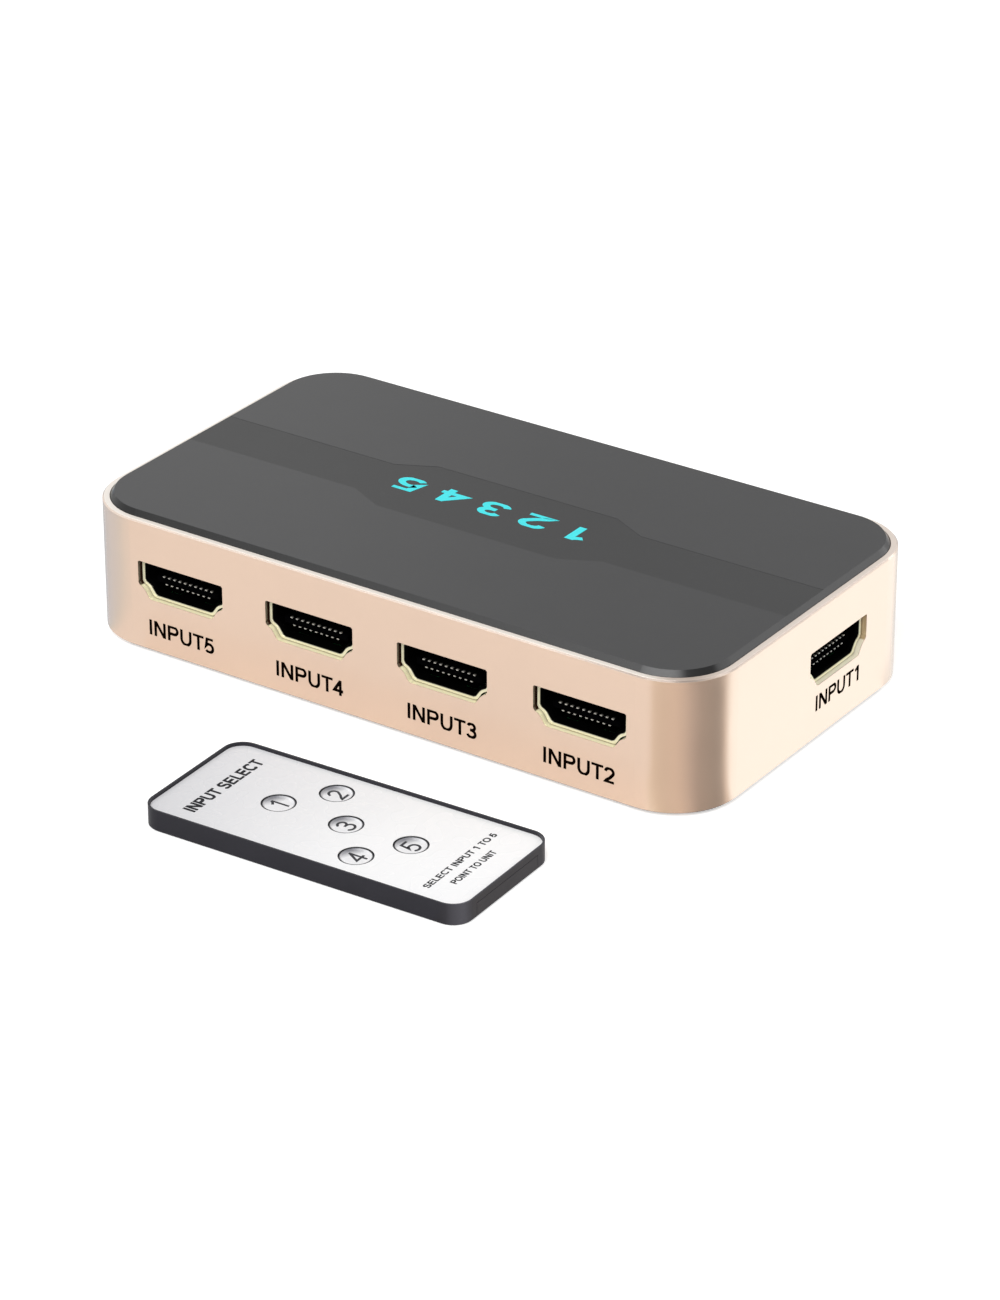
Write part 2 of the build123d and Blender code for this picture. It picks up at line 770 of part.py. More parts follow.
def make_remote_emitter():
    """Returns the infrared lamp in the front end wall, with its two leads."""
    start = -remote_half - emitter_proud
    end = start + emitter_length
    along = Rot(0, 90, 0)
    body = Pos((start + emitter_radius + end) / 2, 0, emitter_height) * along
    lamp = body * Cylinder(emitter_radius, end - start - emitter_radius)
    lamp += Pos(start + emitter_radius, 0, emitter_height) * Sphere(emitter_radius)
    for y in (-emitter_radius / 2, emitter_radius / 2):
        lamp += block((end - emitter_gap, y - lead_width / 2, remote_board_top),
                      (end + 2 * lead_reach, y + lead_width / 2, remote_board_top + lead_thickness))
    return lamp


def make_battery_tray():
    """Returns the tray: a round cell pocket, two side wings, a face and a thumb notch."""
    tray = block((tray_start, -tray_width / 2, 0), (remote_half, tray_width / 2, tray_height))
    wing_low = remote_floor + tray_wing_gap
    tray += block((tray_start, -tray_width / 2 - tray_wing, wing_low),
                  (remote_half, tray_width / 2 + tray_wing, wing_low + tray_wing_thickness))
    tray += block((remote_half - tray_face, -tray_face_width / 2, 0),
                  (remote_half, tray_face_width / 2, tray_face_height))
    end_face = tray.faces().sort_by(Axis.X)[-1]
    tray = chamfer(end_face.edges().filter_by(Axis.Y).sort_by(Axis.Z)[0], edge_break)
    tray -= rod(cell_radius + cell_gap, tray_floor, tray_face_height, cell_x, 0)
    notch = cell_radius / 2
    tray -= block((tray_start, -notch, tray_floor), (cell_x, notch, tray_height))
    grip = Rot(90, 0, 0) * Cylinder(tray_floor / 2, tray_width / 2)
    for turn in (1, 2, 3):
        tray -= Pos(remote_half - tray_grip + turn * tray_grip / 5, 0, 0) * grip
    return tray


def make_coin_cell():
    """Returns the coin cell with its smaller cap."""
    low = tray_floor
    cell = rod(cell_radius, low, low + cell_height * 0.8, cell_x, 0)
    cell += rod(cell_radius * 0.85, low, low + cell_height, cell_x, 0)
    return cell


def make_cell_contacts():
    """Returns the strip over the cell and the leaf against its rim."""
    cell_top = tray_floor + cell_height
    strip_low = cell_top + tray_wing_gap
    strip_near = cell_radius * 0.7
    strip = block((remote_board_end - lead_reach, strip_near, strip_low),
                  (cell_x, strip_near + lead_reach, strip_low + lead_thickness))
    strip += block((remote_board_end - lead_reach, strip_near, remote_board_top),
                   (remote_board_end - lead_reach / 2, strip_near + lead_reach, strip_low))
    leaf_start = dome_radius + emitter_gap
    leaf_end = leaf_start + lead_reach
    rim_x = cell_x - math.sqrt(cell_radius ** 2 - leaf_start ** 2) - cell_gap
    leaf = block((rim_x - lead_thickness, -leaf_end, remote_floor + tray_wing_gap),
                 (rim_x, -leaf_start, remote_board_top + lead_thickness / 2))
    leaf += block((remote_board_end - lead_reach, -leaf_end, remote_board_top),
                  (rim_x, -leaf_start, remote_board_top + lead_thickness / 2))
    return [strip, leaf]


def make_nodes():
    """Returns every piece by the name of its file."""
    nodes = {
        "side_frame": make_side_frame(),
        "top_cover": make_top_cover(),
        "bottom_cover": make_bottom_cover(),
        "rubber_feet": make_rubber_feet(),
        "case_screws": make_case_screws(),
        "main_board": make_main_board(),
        "dc_jack_body": jack_place * jack_body(),
        "dc_jack_pin": jack_place * jack_pin(),
        "dc_jack_spring": jack_place * jack_spring(),
        "select_button": make_select_button(),
        "tact_switch_base": make_tact_switch_base(),
        "tact_switch_plunger": make_tact_switch_plunger(),
        "light_pipe": make_light_pipe(),
        "status_leds": make_status_leds(),
        "ir_window": make_ir_window(),
        "ir_receiver": make_ir_receiver(),
    }
    nodes.update(make_board_parts())
    shell = socket_shell()
    insulator = socket_insulator()
    contacts = socket_contacts()
    for name, place in socket_places.items():
        nodes[name + "_shell"] = place * shell
        nodes[name + "_insulator"] = place * insulator
        nodes[name + "_contacts"] = [place * contact for contact in contacts]
    nodes["remote_case"] = remote_place * make_remote_case()
    nodes["remote_face"] = remote_place * make_remote_face()
    key = make_remote_key()
    for number, (x, y) in enumerate(key_spots, start=1):
        nodes[f"remote_key_{number}"] = remote_place * Pos(x, y, 0) * key
    nodes["key_domes"] = [remote_place * dome for dome in make_key_domes()]
    nodes["remote_board"] = remote_place * make_remote_board()
    nodes["remote_chip"] = remote_place * make_remote_chip()
    nodes["remote_emitter"] = remote_place * make_remote_emitter()
    nodes["battery_tray"] = remote_place * make_battery_tray()
    nodes["coin_cell"] = remote_place * make_coin_cell()
    nodes["cell_contacts"] = [remote_place * strip for strip in make_cell_contacts()]
    return nodes


os.makedirs("parts", exist_ok=True)
for node_name, shape in make_nodes().items():
    if isinstance(shape, list):
        shape = Compound(children=shape)
    export_step(shape, f"parts/{node_name}.step")
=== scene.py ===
# %% [markdown]
# # A five-input video switch and its card remote
# The real object is a flat box for a shelf behind a television: a gold metal ring, a dark cover,
# six video sockets, and a thin remote with five round keys. The solids of every piece come ready
# made from the packed frame. This lesson gives them their finishes, adds the printing and the
# case screws, and lights the whole as in a small product studio.

# %% The frame
import math

import bpy
from mathutils import Euler, Matrix, Vector


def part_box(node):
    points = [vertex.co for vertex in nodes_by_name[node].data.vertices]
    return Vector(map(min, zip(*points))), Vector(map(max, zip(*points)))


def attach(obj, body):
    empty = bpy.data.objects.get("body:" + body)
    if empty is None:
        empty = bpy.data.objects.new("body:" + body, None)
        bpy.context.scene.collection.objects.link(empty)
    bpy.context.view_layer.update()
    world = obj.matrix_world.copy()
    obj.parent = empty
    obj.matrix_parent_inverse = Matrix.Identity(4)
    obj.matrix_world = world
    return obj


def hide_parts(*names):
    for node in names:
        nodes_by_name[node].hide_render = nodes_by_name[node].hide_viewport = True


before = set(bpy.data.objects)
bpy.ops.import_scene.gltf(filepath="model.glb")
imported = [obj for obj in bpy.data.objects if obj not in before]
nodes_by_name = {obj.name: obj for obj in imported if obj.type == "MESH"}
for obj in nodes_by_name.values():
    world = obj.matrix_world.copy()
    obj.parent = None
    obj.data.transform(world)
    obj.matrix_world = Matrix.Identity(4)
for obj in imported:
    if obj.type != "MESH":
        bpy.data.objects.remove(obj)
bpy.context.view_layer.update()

print("pieces in the frame:", len(nodes_by_name))

# %% [markdown]
# ## Helpers for finishes
# A real surface is never one flat colour: paint has a slight mottle, a moulding has a fine grain,
# and gloss changes a little from place to place. All of that could come from photographs wrapped
# round the piece, but noise that is worked out in the object's own coordinates needs no picture,
# has the right scale everywhere, and looks the same from every side.

# %% Colours and millimetres
MM = 0.001


def from_screen(red, green, blue):
    """Turns a colour of 0 to 255, as a screen shows it, into the linear colour that a shader takes."""
    linear = []
    for value in (red, green, blue):
        share = value / 255
        linear.append(share / 12.92 if share <= 0.04045 else ((share + 0.055) / 1.055) ** 2.4)
    return (*linear, 1.0)


def tinted(color, factor):
    """Returns a linear colour made lighter or darker."""
    return (*[min(value * factor, 1.0) for value in color[:3]], 1.0)


print("middle grey of the screen is", round(from_screen(128, 128, 128)[0], 3), "for a shader")

# %% [markdown]
# Most recipes below need the same few nodes: a ramp, a mix, a sum, a coordinate. They could be
# wired by hand each time, but a small class with one method for each keeps a recipe to a few lines.

# %% Node helpers


class Nodes:
    """The nodes of a material that is being built."""

    def __init__(self, name):
        self.material = bpy.data.materials.new(name)
        self.material.use_nodes = True
        self.tree = self.material.node_tree
        self.shader = self.tree.nodes["Principled BSDF"]
        self.place = self.add("ShaderNodeTexCoord").outputs["Object"]

    def add(self, kind, **settings):
        """Adds a node and sets its options."""
        node = self.tree.nodes.new(kind)
        for option, value in settings.items():
            setattr(node, option, value)
        return node

    def join(self, output, socket):
        """Links an output to a socket."""
        self.tree.links.new(output, socket)

    def fixed(self, **values):
        """Sets numbers on the shader's own sockets, by name with spaces written as underscores."""
        for socket, value in values.items():
            self.shader.inputs[socket.replace("_", " ")].default_value = value

    def ramp(self, value, start, end, low=0.0, high=1.0):
        """Maps a value from start to end onto low to high, and holds it beyond them."""
        node = self.add("ShaderNodeMapRange")
        self.join(value, node.inputs["Value"])
        for socket, number in (("From Min", start), ("From Max", end), ("To Min", low), ("To Max", high)):
            node.inputs[socket].default_value = number
        return node.outputs["Result"]

    def band(self, value, start, full, fading, end):
        """Returns 1 from full to fading, and falls off to 0 at start and at end."""
        rising = self.ramp(value, start, full)
        falling = self.ramp(value, fading, end, 1.0, 0.0)
        return self.math("MULTIPLY", rising, falling)

    def mix(self, factor, first, second):
        """Mixes two colours, each of them fixed or linked."""
        node = self.add("ShaderNodeMix", data_type="RGBA")
        self.join(factor, node.inputs["Factor"])
        for socket, color in ((node.inputs[6], first), (node.inputs[7], second)):
            if isinstance(color, tuple):
                socket.default_value = color
            else:
                self.join(color, socket)
        return node.outputs[2]

    def math(self, operation, first, second):
        """Works out one sum of two values, each of them fixed or linked."""
        node = self.add("ShaderNodeMath", operation=operation)
        for socket, value in zip(node.inputs, (first, second)):
            if isinstance(value, (int, float)):
                socket.default_value = value
            else:
                self.join(value, socket)
        return node.outputs[0]

    def axis(self, letter):
        """Returns one of the three object coordinates."""
        split = self.add("ShaderNodeSeparateXYZ")
        self.join(self.place, split.inputs["Vector"])
        return split.outputs[letter]

    def bearing(self, pivot):
        """Returns the direction of a point from a pivot: 0 is frontward and a quarter turn is right."""
        rightward = self.math("SUBTRACT", self.axis("X"), pivot.x)
        frontward = self.math("SUBTRACT", pivot.y, self.axis("Y"))
        return self.math("ARCTAN2", rightward, frontward)


print("a material's nodes can:", *[name for name in vars(Nodes) if not name.startswith("_")])

# %% [markdown]
# A finish is made of colour, gloss and relief, and noise makes all three uneven. A second class adds
# them to the first. Each could have a texture of its own, but one kind of noise is enough.

# %% Colour, gloss and relief
NOISE_RANGE = (0.3, 0.7)


class Finish(Nodes):
    """A material that is being built, with its noise, colour, gloss and relief."""

    def noise(self, size, detail=4.0, stretch=(1, 1, 1)):
        """Returns noise whose blots are about one size across, in metres."""
        mapping = self.add("ShaderNodeMapping")
        mapping.inputs["Scale"].default_value = stretch
        noise = self.add("ShaderNodeTexNoise")
        noise.inputs["Scale"].default_value = 1 / size
        noise.inputs["Detail"].default_value = detail
        self.join(self.place, mapping.inputs["Vector"])
        self.join(mapping.outputs["Vector"], noise.inputs["Vector"])
        return noise.outputs["Fac"]

    def clouds(self, size, **settings):
        """Returns noise that is spread out from 0 to 1."""
        return self.ramp(self.noise(size, **settings), *NOISE_RANGE)

    def mottled(self, clouds, color, darkest, lightest):
        """Returns one colour that clouds make darker and lighter."""
        return self.mix(clouds, tinted(color, darkest), tinted(color, lightest))

    def colour(self, output):
        """Gives the shader its colour, and keeps it for recipes that paint over it."""
        self.paint = output
        self.join(output, self.shader.inputs["Base Color"])

    def gloss(self, value, low, high):
        """Lets the roughness wander between two values."""
        self.join(self.ramp(value, *NOISE_RANGE, low, high), self.shader.inputs["Roughness"])

    def relief(self, height, depth):
        """Makes a height of 0 to 1 into fine relief of a real depth in metres."""
        bump = self.add("ShaderNodeBump")
        bump.inputs["Distance"].default_value = depth
        bump.inputs["Strength"].default_value = 1.0
        self.join(height, bump.inputs["Height"])
        self.join(bump.outputs["Normal"], self.shader.inputs["Normal"])


print("a finish can:", *[name for name in vars(Finish) if not name.startswith("_")])

# %% [markdown]
# Most pieces are plain mouldings or plain metal. One recipe serves them all: a slight mottle, a
# gloss that wanders a little, and a fine grain. Only its numbers differ from piece to piece.

# %% Recipe for plain pieces
GLOSS_WANDER = 0.025


def grained(name, color, roughness, mottle=0.06, blot=6 * MM, grain=0.2 * MM, depth=0.004 * MM, **fixed):
    """Returns a finish with a slight mottle, an uneven gloss and a fine grain."""
    finish = Finish(name)
    finish.fixed(**fixed)
    finish.colour(finish.mottled(finish.clouds(blot), color, 1 - mottle, 1 + mottle))
    finish.gloss(finish.noise(blot / 2, detail=0.0), roughness - GLOSS_WANDER, roughness + GLOSS_WANDER)
    finish.relief(finish.noise(grain, detail=2.0), depth)
    return finish


def wear(piece, finish):
    """Gives a piece one finish in place of any that it has."""
    piece.data.materials.clear()
    piece.data.materials.append(finish.material)


def dress(finish, *names):
    """Gives a finish to nodes of the frame."""
    for name in names:
        wear(nodes_by_name[name], finish)
    print(finish.material.name, "on", len(names), "nodes")


# %% [markdown]
# ## The gold ring
# The ring round the box is pressed aluminium with a satin champagne lacquer. Light slides over
# it in soft bands, so it is partly metallic with a middling roughness. A fully metallic shader
# would only mirror the room, and a plain plastic one would have no bands at all.

# %% Gold lacquer
GOLD = (0.945, 0.700, 0.535, 1.0)
GOLD_METALLIC = 0.6
gold = grained("gold_lacquer", GOLD, 0.24, mottle=0.01, blot=9 * MM, grain=0.5 * MM,
               depth=0.0015 * MM, Metallic=GOLD_METALLIC, IOR=2.0)
ring_x, ring_y, ring_z = gold.axis("X"), gold.axis("Y"), gold.axis("Z")
frame_low, frame_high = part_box("side_frame")
print("the ring is", round((frame_high.x - frame_low.x) / MM, 1), "mm long")

# %% [markdown]
# The ring's narrow top and its two outer edges are cut after lacquering and show pale metal. Their
# brightness is painted light: a painted highlight makes them nearly white along the front, and
# painted shade makes them duller along the right end and darkest round the corner between them.
# Strips of a second material could be drawn on the solid, but a point's height and its place along
# the ring already tell the shader where the metal is bare.

# %% Cut edges of the ring
EDGE_WIDTH = 0.22 * MM
EDGE_BLUR = 0.05 * MM
TOP_SKIN = 0.01 * MM
CUT_EDGE_HIGHLIGHT = from_screen(232, 214, 200)
CORNER_CUT_EDGE_SHADE = from_screen(184, 168, 156)
CUT_SHADE = (30 * MM, 47 * MM, 52.5 * MM, 55.2 * MM)
TOP_EDGE_HIGHLIGHT = from_screen(255, 246, 236)
END_TOP_EDGE_SHADE = from_screen(228, 213, 201)
END_BEGINS = (46.5 * MM, 50 * MM)
CORNER_TOP_EDGE_SHADE = from_screen(196, 179, 166)
CORNER_FROM_FRONT = (48 * MM, 52.5 * MM)
CORNER_TO_END = (-28 * MM, -23 * MM)

upper_cut = gold.ramp(ring_z, frame_high.z - EDGE_WIDTH - EDGE_BLUR, frame_high.z - EDGE_WIDTH)
lower_cut = gold.ramp(ring_z, frame_low.z + EDGE_WIDTH, frame_low.z + EDGE_WIDTH + EDGE_BLUR, 1.0, 0.0)
# Painted shade: the cut edges turn darker round the corner.
shaded_cut = gold.math("MULTIPLY", gold.band(ring_x, *CUT_SHADE), upper_cut)
edge_light_and_shade = gold.mix(shaded_cut, CUT_EDGE_HIGHLIGHT, CORNER_CUT_EDGE_SHADE)
painted = gold.mix(gold.math("MAXIMUM", upper_cut, lower_cut), gold.paint, edge_light_and_shade)

# Painted highlight on the top along the front; painted shade along the end and round the corner.
top_light_and_shade = gold.mix(gold.ramp(ring_x, *END_BEGINS), TOP_EDGE_HIGHLIGHT, END_TOP_EDGE_SHADE)
corner_shade_mask = gold.math("MULTIPLY", gold.ramp(ring_x, *CORNER_FROM_FRONT),
                         gold.ramp(ring_y, *CORNER_TO_END, 1.0, 0.0))
top_light_and_shade = gold.mix(corner_shade_mask, top_light_and_shade, CORNER_TOP_EDGE_SHADE)
on_top = gold.ramp(ring_z, frame_high.z - EDGE_BLUR, frame_high.z - TOP_SKIN)
painted = gold.mix(on_top, painted, top_light_and_shade)
print("the cut edges are", round(EDGE_WIDTH / MM, 2), "mm wide")

# %% [markdown]
# The sockets' cut-outs are punched after lacquering too, so their edges are bare metal. Their lower
# edges get a painted highlight, and their upright ones painted shade along the long walls and a
# painted light at the ends. Here the depth of a point in the wall finds the edges, and its height
# tells the lower ones from the upright ones.

# %% Edges of the socket cut-outs
WALL = 1.7 * MM
WALL_SKIN = (0.03 * MM, 0.10 * MM)
SOFT = 0.1 * MM
CUT_MARGIN = 1.0 * MM
SHOULDER = 4.0 * MM
LONG_REACH = 44.5 * MM
END_REACH = 20 * MM
LIT_SILL_METAL = from_screen(255, 246, 206)
LIT_END_SILL_METAL = from_screen(255, 248, 226)
SHADED_EDGE = from_screen(58, 34, 20)
LIT_END_EDGE = from_screen(206, 180, 140)


def inside_walls(letter, faces, cross_letter, reach):
    """Returns 1 in the thickness of two facing walls, as far as a reach from their middles, else 0."""
    distance = gold.math("ABSOLUTE", gold.axis(cross_letter), 0)
    near = gold.ramp(distance, reach, reach + SOFT, 1.0, 0.0)
    inside = []
    for face in faces:
        depth = gold.math("ABSOLUTE", gold.math("SUBTRACT", gold.axis(letter), face), 0)
        inside.append(gold.math("MULTIPLY", gold.band(depth, *WALL_SKIN, WALL, WALL + SOFT), near))
    return gold.math("MAXIMUM", *inside)


cut_low, cut_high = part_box("input_2_shell")
foot, rim = cut_low.z - CUT_MARGIN, cut_high.z + CUT_MARGIN
at_sockets = gold.band(ring_z, foot - SOFT, foot, rim, rim + SOFT)
long_walls = inside_walls("Y", (frame_low.y, frame_high.y), "X", LONG_REACH)
end_walls = inside_walls("X", (frame_low.x, frame_high.x), "Y", END_REACH)
in_long_walls = gold.math("MULTIPLY", long_walls, at_sockets)
in_end_walls = gold.math("MULTIPLY", end_walls, at_sockets)
shoulder_height = cut_high.z - SHOULDER
upright = gold.ramp(ring_z, shoulder_height - EDGE_BLUR, shoulder_height + EDGE_BLUR)
# Painted highlight on the lower edges; painted shade on the upright ones along the long walls and painted
# light on those at the ends.
painted = gold.mix(in_long_walls, painted, gold.mix(upright, LIT_SILL_METAL, SHADED_EDGE))
painted = gold.mix(in_end_walls, painted, gold.mix(upright, LIT_END_SILL_METAL, LIT_END_EDGE))
gold.colour(painted)
bare = gold.math("MAXIMUM", gold.math("MAXIMUM", in_long_walls, in_end_walls), on_top)
gold.join(gold.ramp(bare, 0.0, 1.0, GOLD_METALLIC, 0.0), gold.shader.inputs["Metallic"])
dress(gold, "side_frame")
print("socket edges turn upright above", round(shoulder_height / MM, 2), "mm")

# %% [markdown]
# ## The dark cover
# The cover is a satin moulding with a shallow band along its middle. The band's floor is a darker
# grey, most of all at its left end. The cover's height tells the shader where it is: only the band
# lies between its own floor and the level of the cover's top.

# %% Cover with its band
COVER_GREY = from_screen(44, 44, 45)
BAND_DEPTH = 0.02 * MM
BAND_END = 45 * MM
cover_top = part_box("top_cover")[1].z
cover = Finish("cover_satin")
cover.fixed(Specular_IOR_Level=0.44)
clouds = cover.clouds(11 * MM)
plain = cover.mottled(clouds, COVER_GREY, 0.96, 1.04)
sunk_left = cover.mottled(clouds, COVER_GREY, 0.0, 0.06)
sunk_right = cover.mottled(clouds, COVER_GREY, 0.47, 0.53)
sunk = cover.mix(cover.ramp(cover.axis("X"), -BAND_END, BAND_END), sunk_left, sunk_right)
in_band = cover.ramp(cover.axis("Z"), cover_top - 0.6 * BAND_DEPTH, cover_top - 0.4 * BAND_DEPTH, 1.0, 0.0)
cover.colour(cover.mix(in_band, plain, sunk))
cover.gloss(cover.noise(4 * MM, detail=0.0), 0.17, 0.21)
cover.relief(cover.noise(0.16 * MM, detail=2.0), 0.002 * MM)
dress(cover, "top_cover")

# %% [markdown]
# ## Floor and feet
# Underneath, such boxes are plainer: a coarser black moulding and soft rubber feet. The recipe for
# plain pieces serves both, with a coarser grain for the moulding and a stronger mottle for rubber.

# %% Underside
dress(grained("floor_moulding", from_screen(38, 38, 39), 0.5, grain=0.35 * MM, depth=0.01 * MM),
      "bottom_cover")
dress(grained("foot_rubber", from_screen(28, 28, 29), 0.75, mottle=0.15, grain=0.25 * MM,
              depth=0.015 * MM), "rubber_feet")

# %% [markdown]
# ## Sockets
# A socket is a folded shell of gold-plated sheet round a black tongue. Only its front edge catches
# the light, and a little way in it is dark, because the sheet mirrors the black moulding. Real
# mirroring would need many bounces of light, so the colour paints both: a painted highlight at each
# shell's and contact's front edge, and painted shade and reflection that darken the plating by its
# depth behind it. The tongue's black is deeper than the moulding's, painted shade inside the socket.

# %% Plated shells, tongues and contacts
SOCKET_SIDES = {
    "front": ("Y", ["input_2", "input_3", "input_4", "input_5"], 1),
    "right": ("X", ["input_1"], -1),
    "left": ("X", ["output"], 1),
}
SHADE = from_screen(4, 4, 4)
BRIGHT_RIM = 0.04 * MM


def bright_at_the_front(name, node, letter, inward, bright, reach, **fixed):
    """Returns plating with a painted highlight at a node's front edge and painted shade behind it."""
    low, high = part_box(node)
    number = "XYZ".index(letter)
    front = low[number] if inward > 0 else high[number]
    finish = Finish(name)
    finish.fixed(**fixed)
    depth = finish.ramp(finish.axis(letter), front + inward * BRIGHT_RIM, front + inward * reach)
    clouds = finish.clouds(1.5 * MM)
    finish.colour(finish.mix(depth, finish.mottled(clouds, bright, 0.94, 1.03), SHADE))
    finish.gloss(clouds, 0.28, 0.36)
    finish.relief(finish.noise(0.12 * MM), 0.002 * MM)
    return finish


# Painted highlight at the front edges of shells and contacts, painted shade behind them.
LIT_PLATING = from_screen(255, 248, 214)
PLATING_REACH = 0.16 * MM
LIT_TIP_GOLD = from_screen(206, 202, 192)
TIP_REACH = 0.45 * MM
# Painted shade: the tongue is a deeper black than the other mouldings.
shaded_tongue_black = grained("shaded_tongue_black", from_screen(4, 4, 5), 0.6, grain=0.1 * MM, Specular_IOR_Level=0.0)
for side, (letter, sockets, inward) in SOCKET_SIDES.items():
    shell = bright_at_the_front("socket_plating_" + side, sockets[0] + "_shell", letter, inward,
                                LIT_PLATING, PLATING_REACH, Metallic=0.3, Specular_IOR_Level=0.0)
    tips = bright_at_the_front("contact_plating_" + side, sockets[0] + "_contacts", letter, inward,
                               LIT_TIP_GOLD, TIP_REACH, Metallic=0.3)
    dress(shell, *[name + "_shell" for name in sockets])
    dress(tips, *[name + "_contacts" for name in sockets])
    dress(shaded_tongue_black, *[name + "_insulator" for name in sockets])

# %% [markdown]
# ## Case screws
# The four case screws come plain from the frame. A real one has a pan head with a rounded rim, a
# cross recess and a thread. One is modelled as by hand, from a plain cylinder, with two helpers: one
# picks the faces at an end, and the other lets the picked face grow.

# %% Sizes of a screw and helpers for its faces
screws_low, screws_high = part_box("case_screws")
HEAD_RADIUS = 2.2 * MM
HEAD_HEIGHT = 1.2 * MM
RIM_BEVEL = 0.4 * MM
SHANK_RADIUS = 1.1 * MM
NECK = 0.6 * MM
PITCH = 0.9 * MM
THREAD_ROOT = 0.82
POINT = 0.6


def clear_selection():
    """Deselects everything, because an operator works on all that is selected."""
    bpy.ops.object.select_all(action="DESELECT")


def make_active(piece):
    """Selects one piece alone and makes it the active one."""
    clear_selection()
    piece.select_set(True)
    bpy.context.view_layer.objects.active = piece


def pick_faces(piece, upward):
    """Enters edit mode and selects only the faces that look straight up, or straight down."""
    bpy.ops.object.mode_set(mode="EDIT")
    bpy.ops.mesh.select_mode(type="FACE")
    bpy.ops.mesh.select_all(action="DESELECT")
    bpy.ops.object.mode_set(mode="OBJECT")
    for face in piece.data.polygons:
        face.select = face.normal.z * upward > 0.9
    bpy.ops.object.mode_set(mode="EDIT")


def grow(rise, factor):
    """Extrudes the selected face upwards and scales its new end about the axis."""
    bpy.ops.mesh.extrude_region_move(TRANSFORM_OT_translate={"value": (0, 0, rise)})
    bpy.ops.transform.resize(value=(factor, factor, 1), center_override=(0, 0, 0))


screw_length = screws_high.z - screws_low.z
print("a screw is", round(screw_length / MM, 2), "mm long")

# %% [markdown]
# The screw stands on its head. A short cylinder is the head, its rim is bevelled, and the shank is
# extruded out of it ridge by ridge. A true helix would cost more for no gain, because the boss
# hides the thread.

# %% Head and shank
clear_selection()
bpy.ops.mesh.primitive_cylinder_add(vertices=32, radius=HEAD_RADIUS, depth=HEAD_HEIGHT,
                                    location=(0, 0, HEAD_HEIGHT / 2))
screw = bpy.context.object
bpy.ops.object.transform_apply(location=True, rotation=False, scale=False)
pick_faces(screw, -1)
bpy.ops.mesh.bevel(offset=RIM_BEVEL, segments=4, affect="EDGES")
pick_faces(screw, 1)
bpy.ops.mesh.inset(thickness=HEAD_RADIUS - SHANK_RADIUS)
grow(NECK, 1.0)
ridges = int((screw_length - HEAD_HEIGHT - NECK) / PITCH)
for ridge in range(ridges):
    grow(PITCH / 2, THREAD_ROOT)
    grow(PITCH / 2, 1 / THREAD_ROOT)
grow(screw_length - HEAD_HEIGHT - NECK - ridges * PITCH, POINT)
bpy.ops.object.mode_set(mode="OBJECT")
print("ridges on the shank:", ridges)

# %% [markdown]
# The cross recess is cut by two tapered blades, one turned by a quarter. Each is a cube whose upper
# face is scaled down, and a Boolean modifier takes it out of the head.

# %% Cross recess
BLADE = (2.6 * MM, 0.6 * MM, 0.8 * MM)
BLADE_OVERLAP = 0.05 * MM
BLADE_TAPER = 0.5
SMOOTH_BELOW = math.radians(35)
for blade_turn in (0, 90):
    clear_selection()
    bpy.ops.mesh.primitive_cube_add(size=1)
    blade = bpy.context.object
    blade.scale = BLADE
    blade.rotation_euler.z = math.radians(blade_turn)
    blade.location.z = BLADE[2] / 2 - BLADE_OVERLAP
    bpy.ops.object.transform_apply(location=True, rotation=True, scale=True)
    pick_faces(blade, 1)
    bpy.ops.transform.resize(value=(BLADE_TAPER, BLADE_TAPER, 1), center_override=(0, 0, 0))
    bpy.ops.object.mode_set(mode="OBJECT")
    make_active(screw)
    recess = screw.modifiers.new("recess", "BOOLEAN")
    recess.object = blade
    recess.operation = "DIFFERENCE"
    recess.solver = "EXACT"
    bpy.ops.object.modifier_apply(modifier="recess")
    bpy.data.objects.remove(blade)
bpy.ops.object.mode_set(mode="EDIT")
bpy.ops.mesh.select_all(action="SELECT")
bpy.ops.mesh.normals_make_consistent(inside=False)
bpy.ops.object.mode_set(mode="OBJECT")
bpy.ops.object.shade_smooth_by_angle(angle=SMOOTH_BELOW)
print("faces of one screw:", len(screw.data.polygons))

# %% [markdown]
# Three copies complete the set. The four are moved to their corners and joined, so that one piece
# takes the place of the frame's one node of plain screws.

# %% Four screws
screw_x, screw_y = screws_high.x - HEAD_RADIUS, screws_high.y - HEAD_RADIUS
screws = [screw]
for _ in range(3):
    bpy.ops.object.duplicate()
    screws.append(bpy.context.object)
for piece, (x, y) in zip(screws, ((-1, -1), (1, -1), (1, 1), (-1, 1))):
    piece.location = (x * screw_x, y * screw_y, screws_low.z)
clear_selection()
for piece in screws:
    piece.select_set(True)
bpy.context.view_layer.objects.active = screw
bpy.ops.object.join()
bpy.ops.object.transform_apply(location=True, rotation=True, scale=True)
screw.name = "case_screws_cut"
zinc = grained("screw_zinc", from_screen(198, 200, 204), 0.32, blot=1.2 * MM, grain=0.1 * MM,
               depth=0.002 * MM, Metallic=0.9)
wear(screw, zinc)
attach(screw, "switch")
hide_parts("case_screws")
print("faces of all four screws:", len(screw.data.polygons))

# %% [markdown]
# ## Supply jack, button, lamps and window
# These sit in the other two walls, which the photograph doesn't show. They are the usual small
# mouldings: a black jack with a tinned pin, a glossy cap, a clear light pipe and a dark window.
# Only colour, gloss and clearness tell them apart, so the recipe for plain pieces is enough.

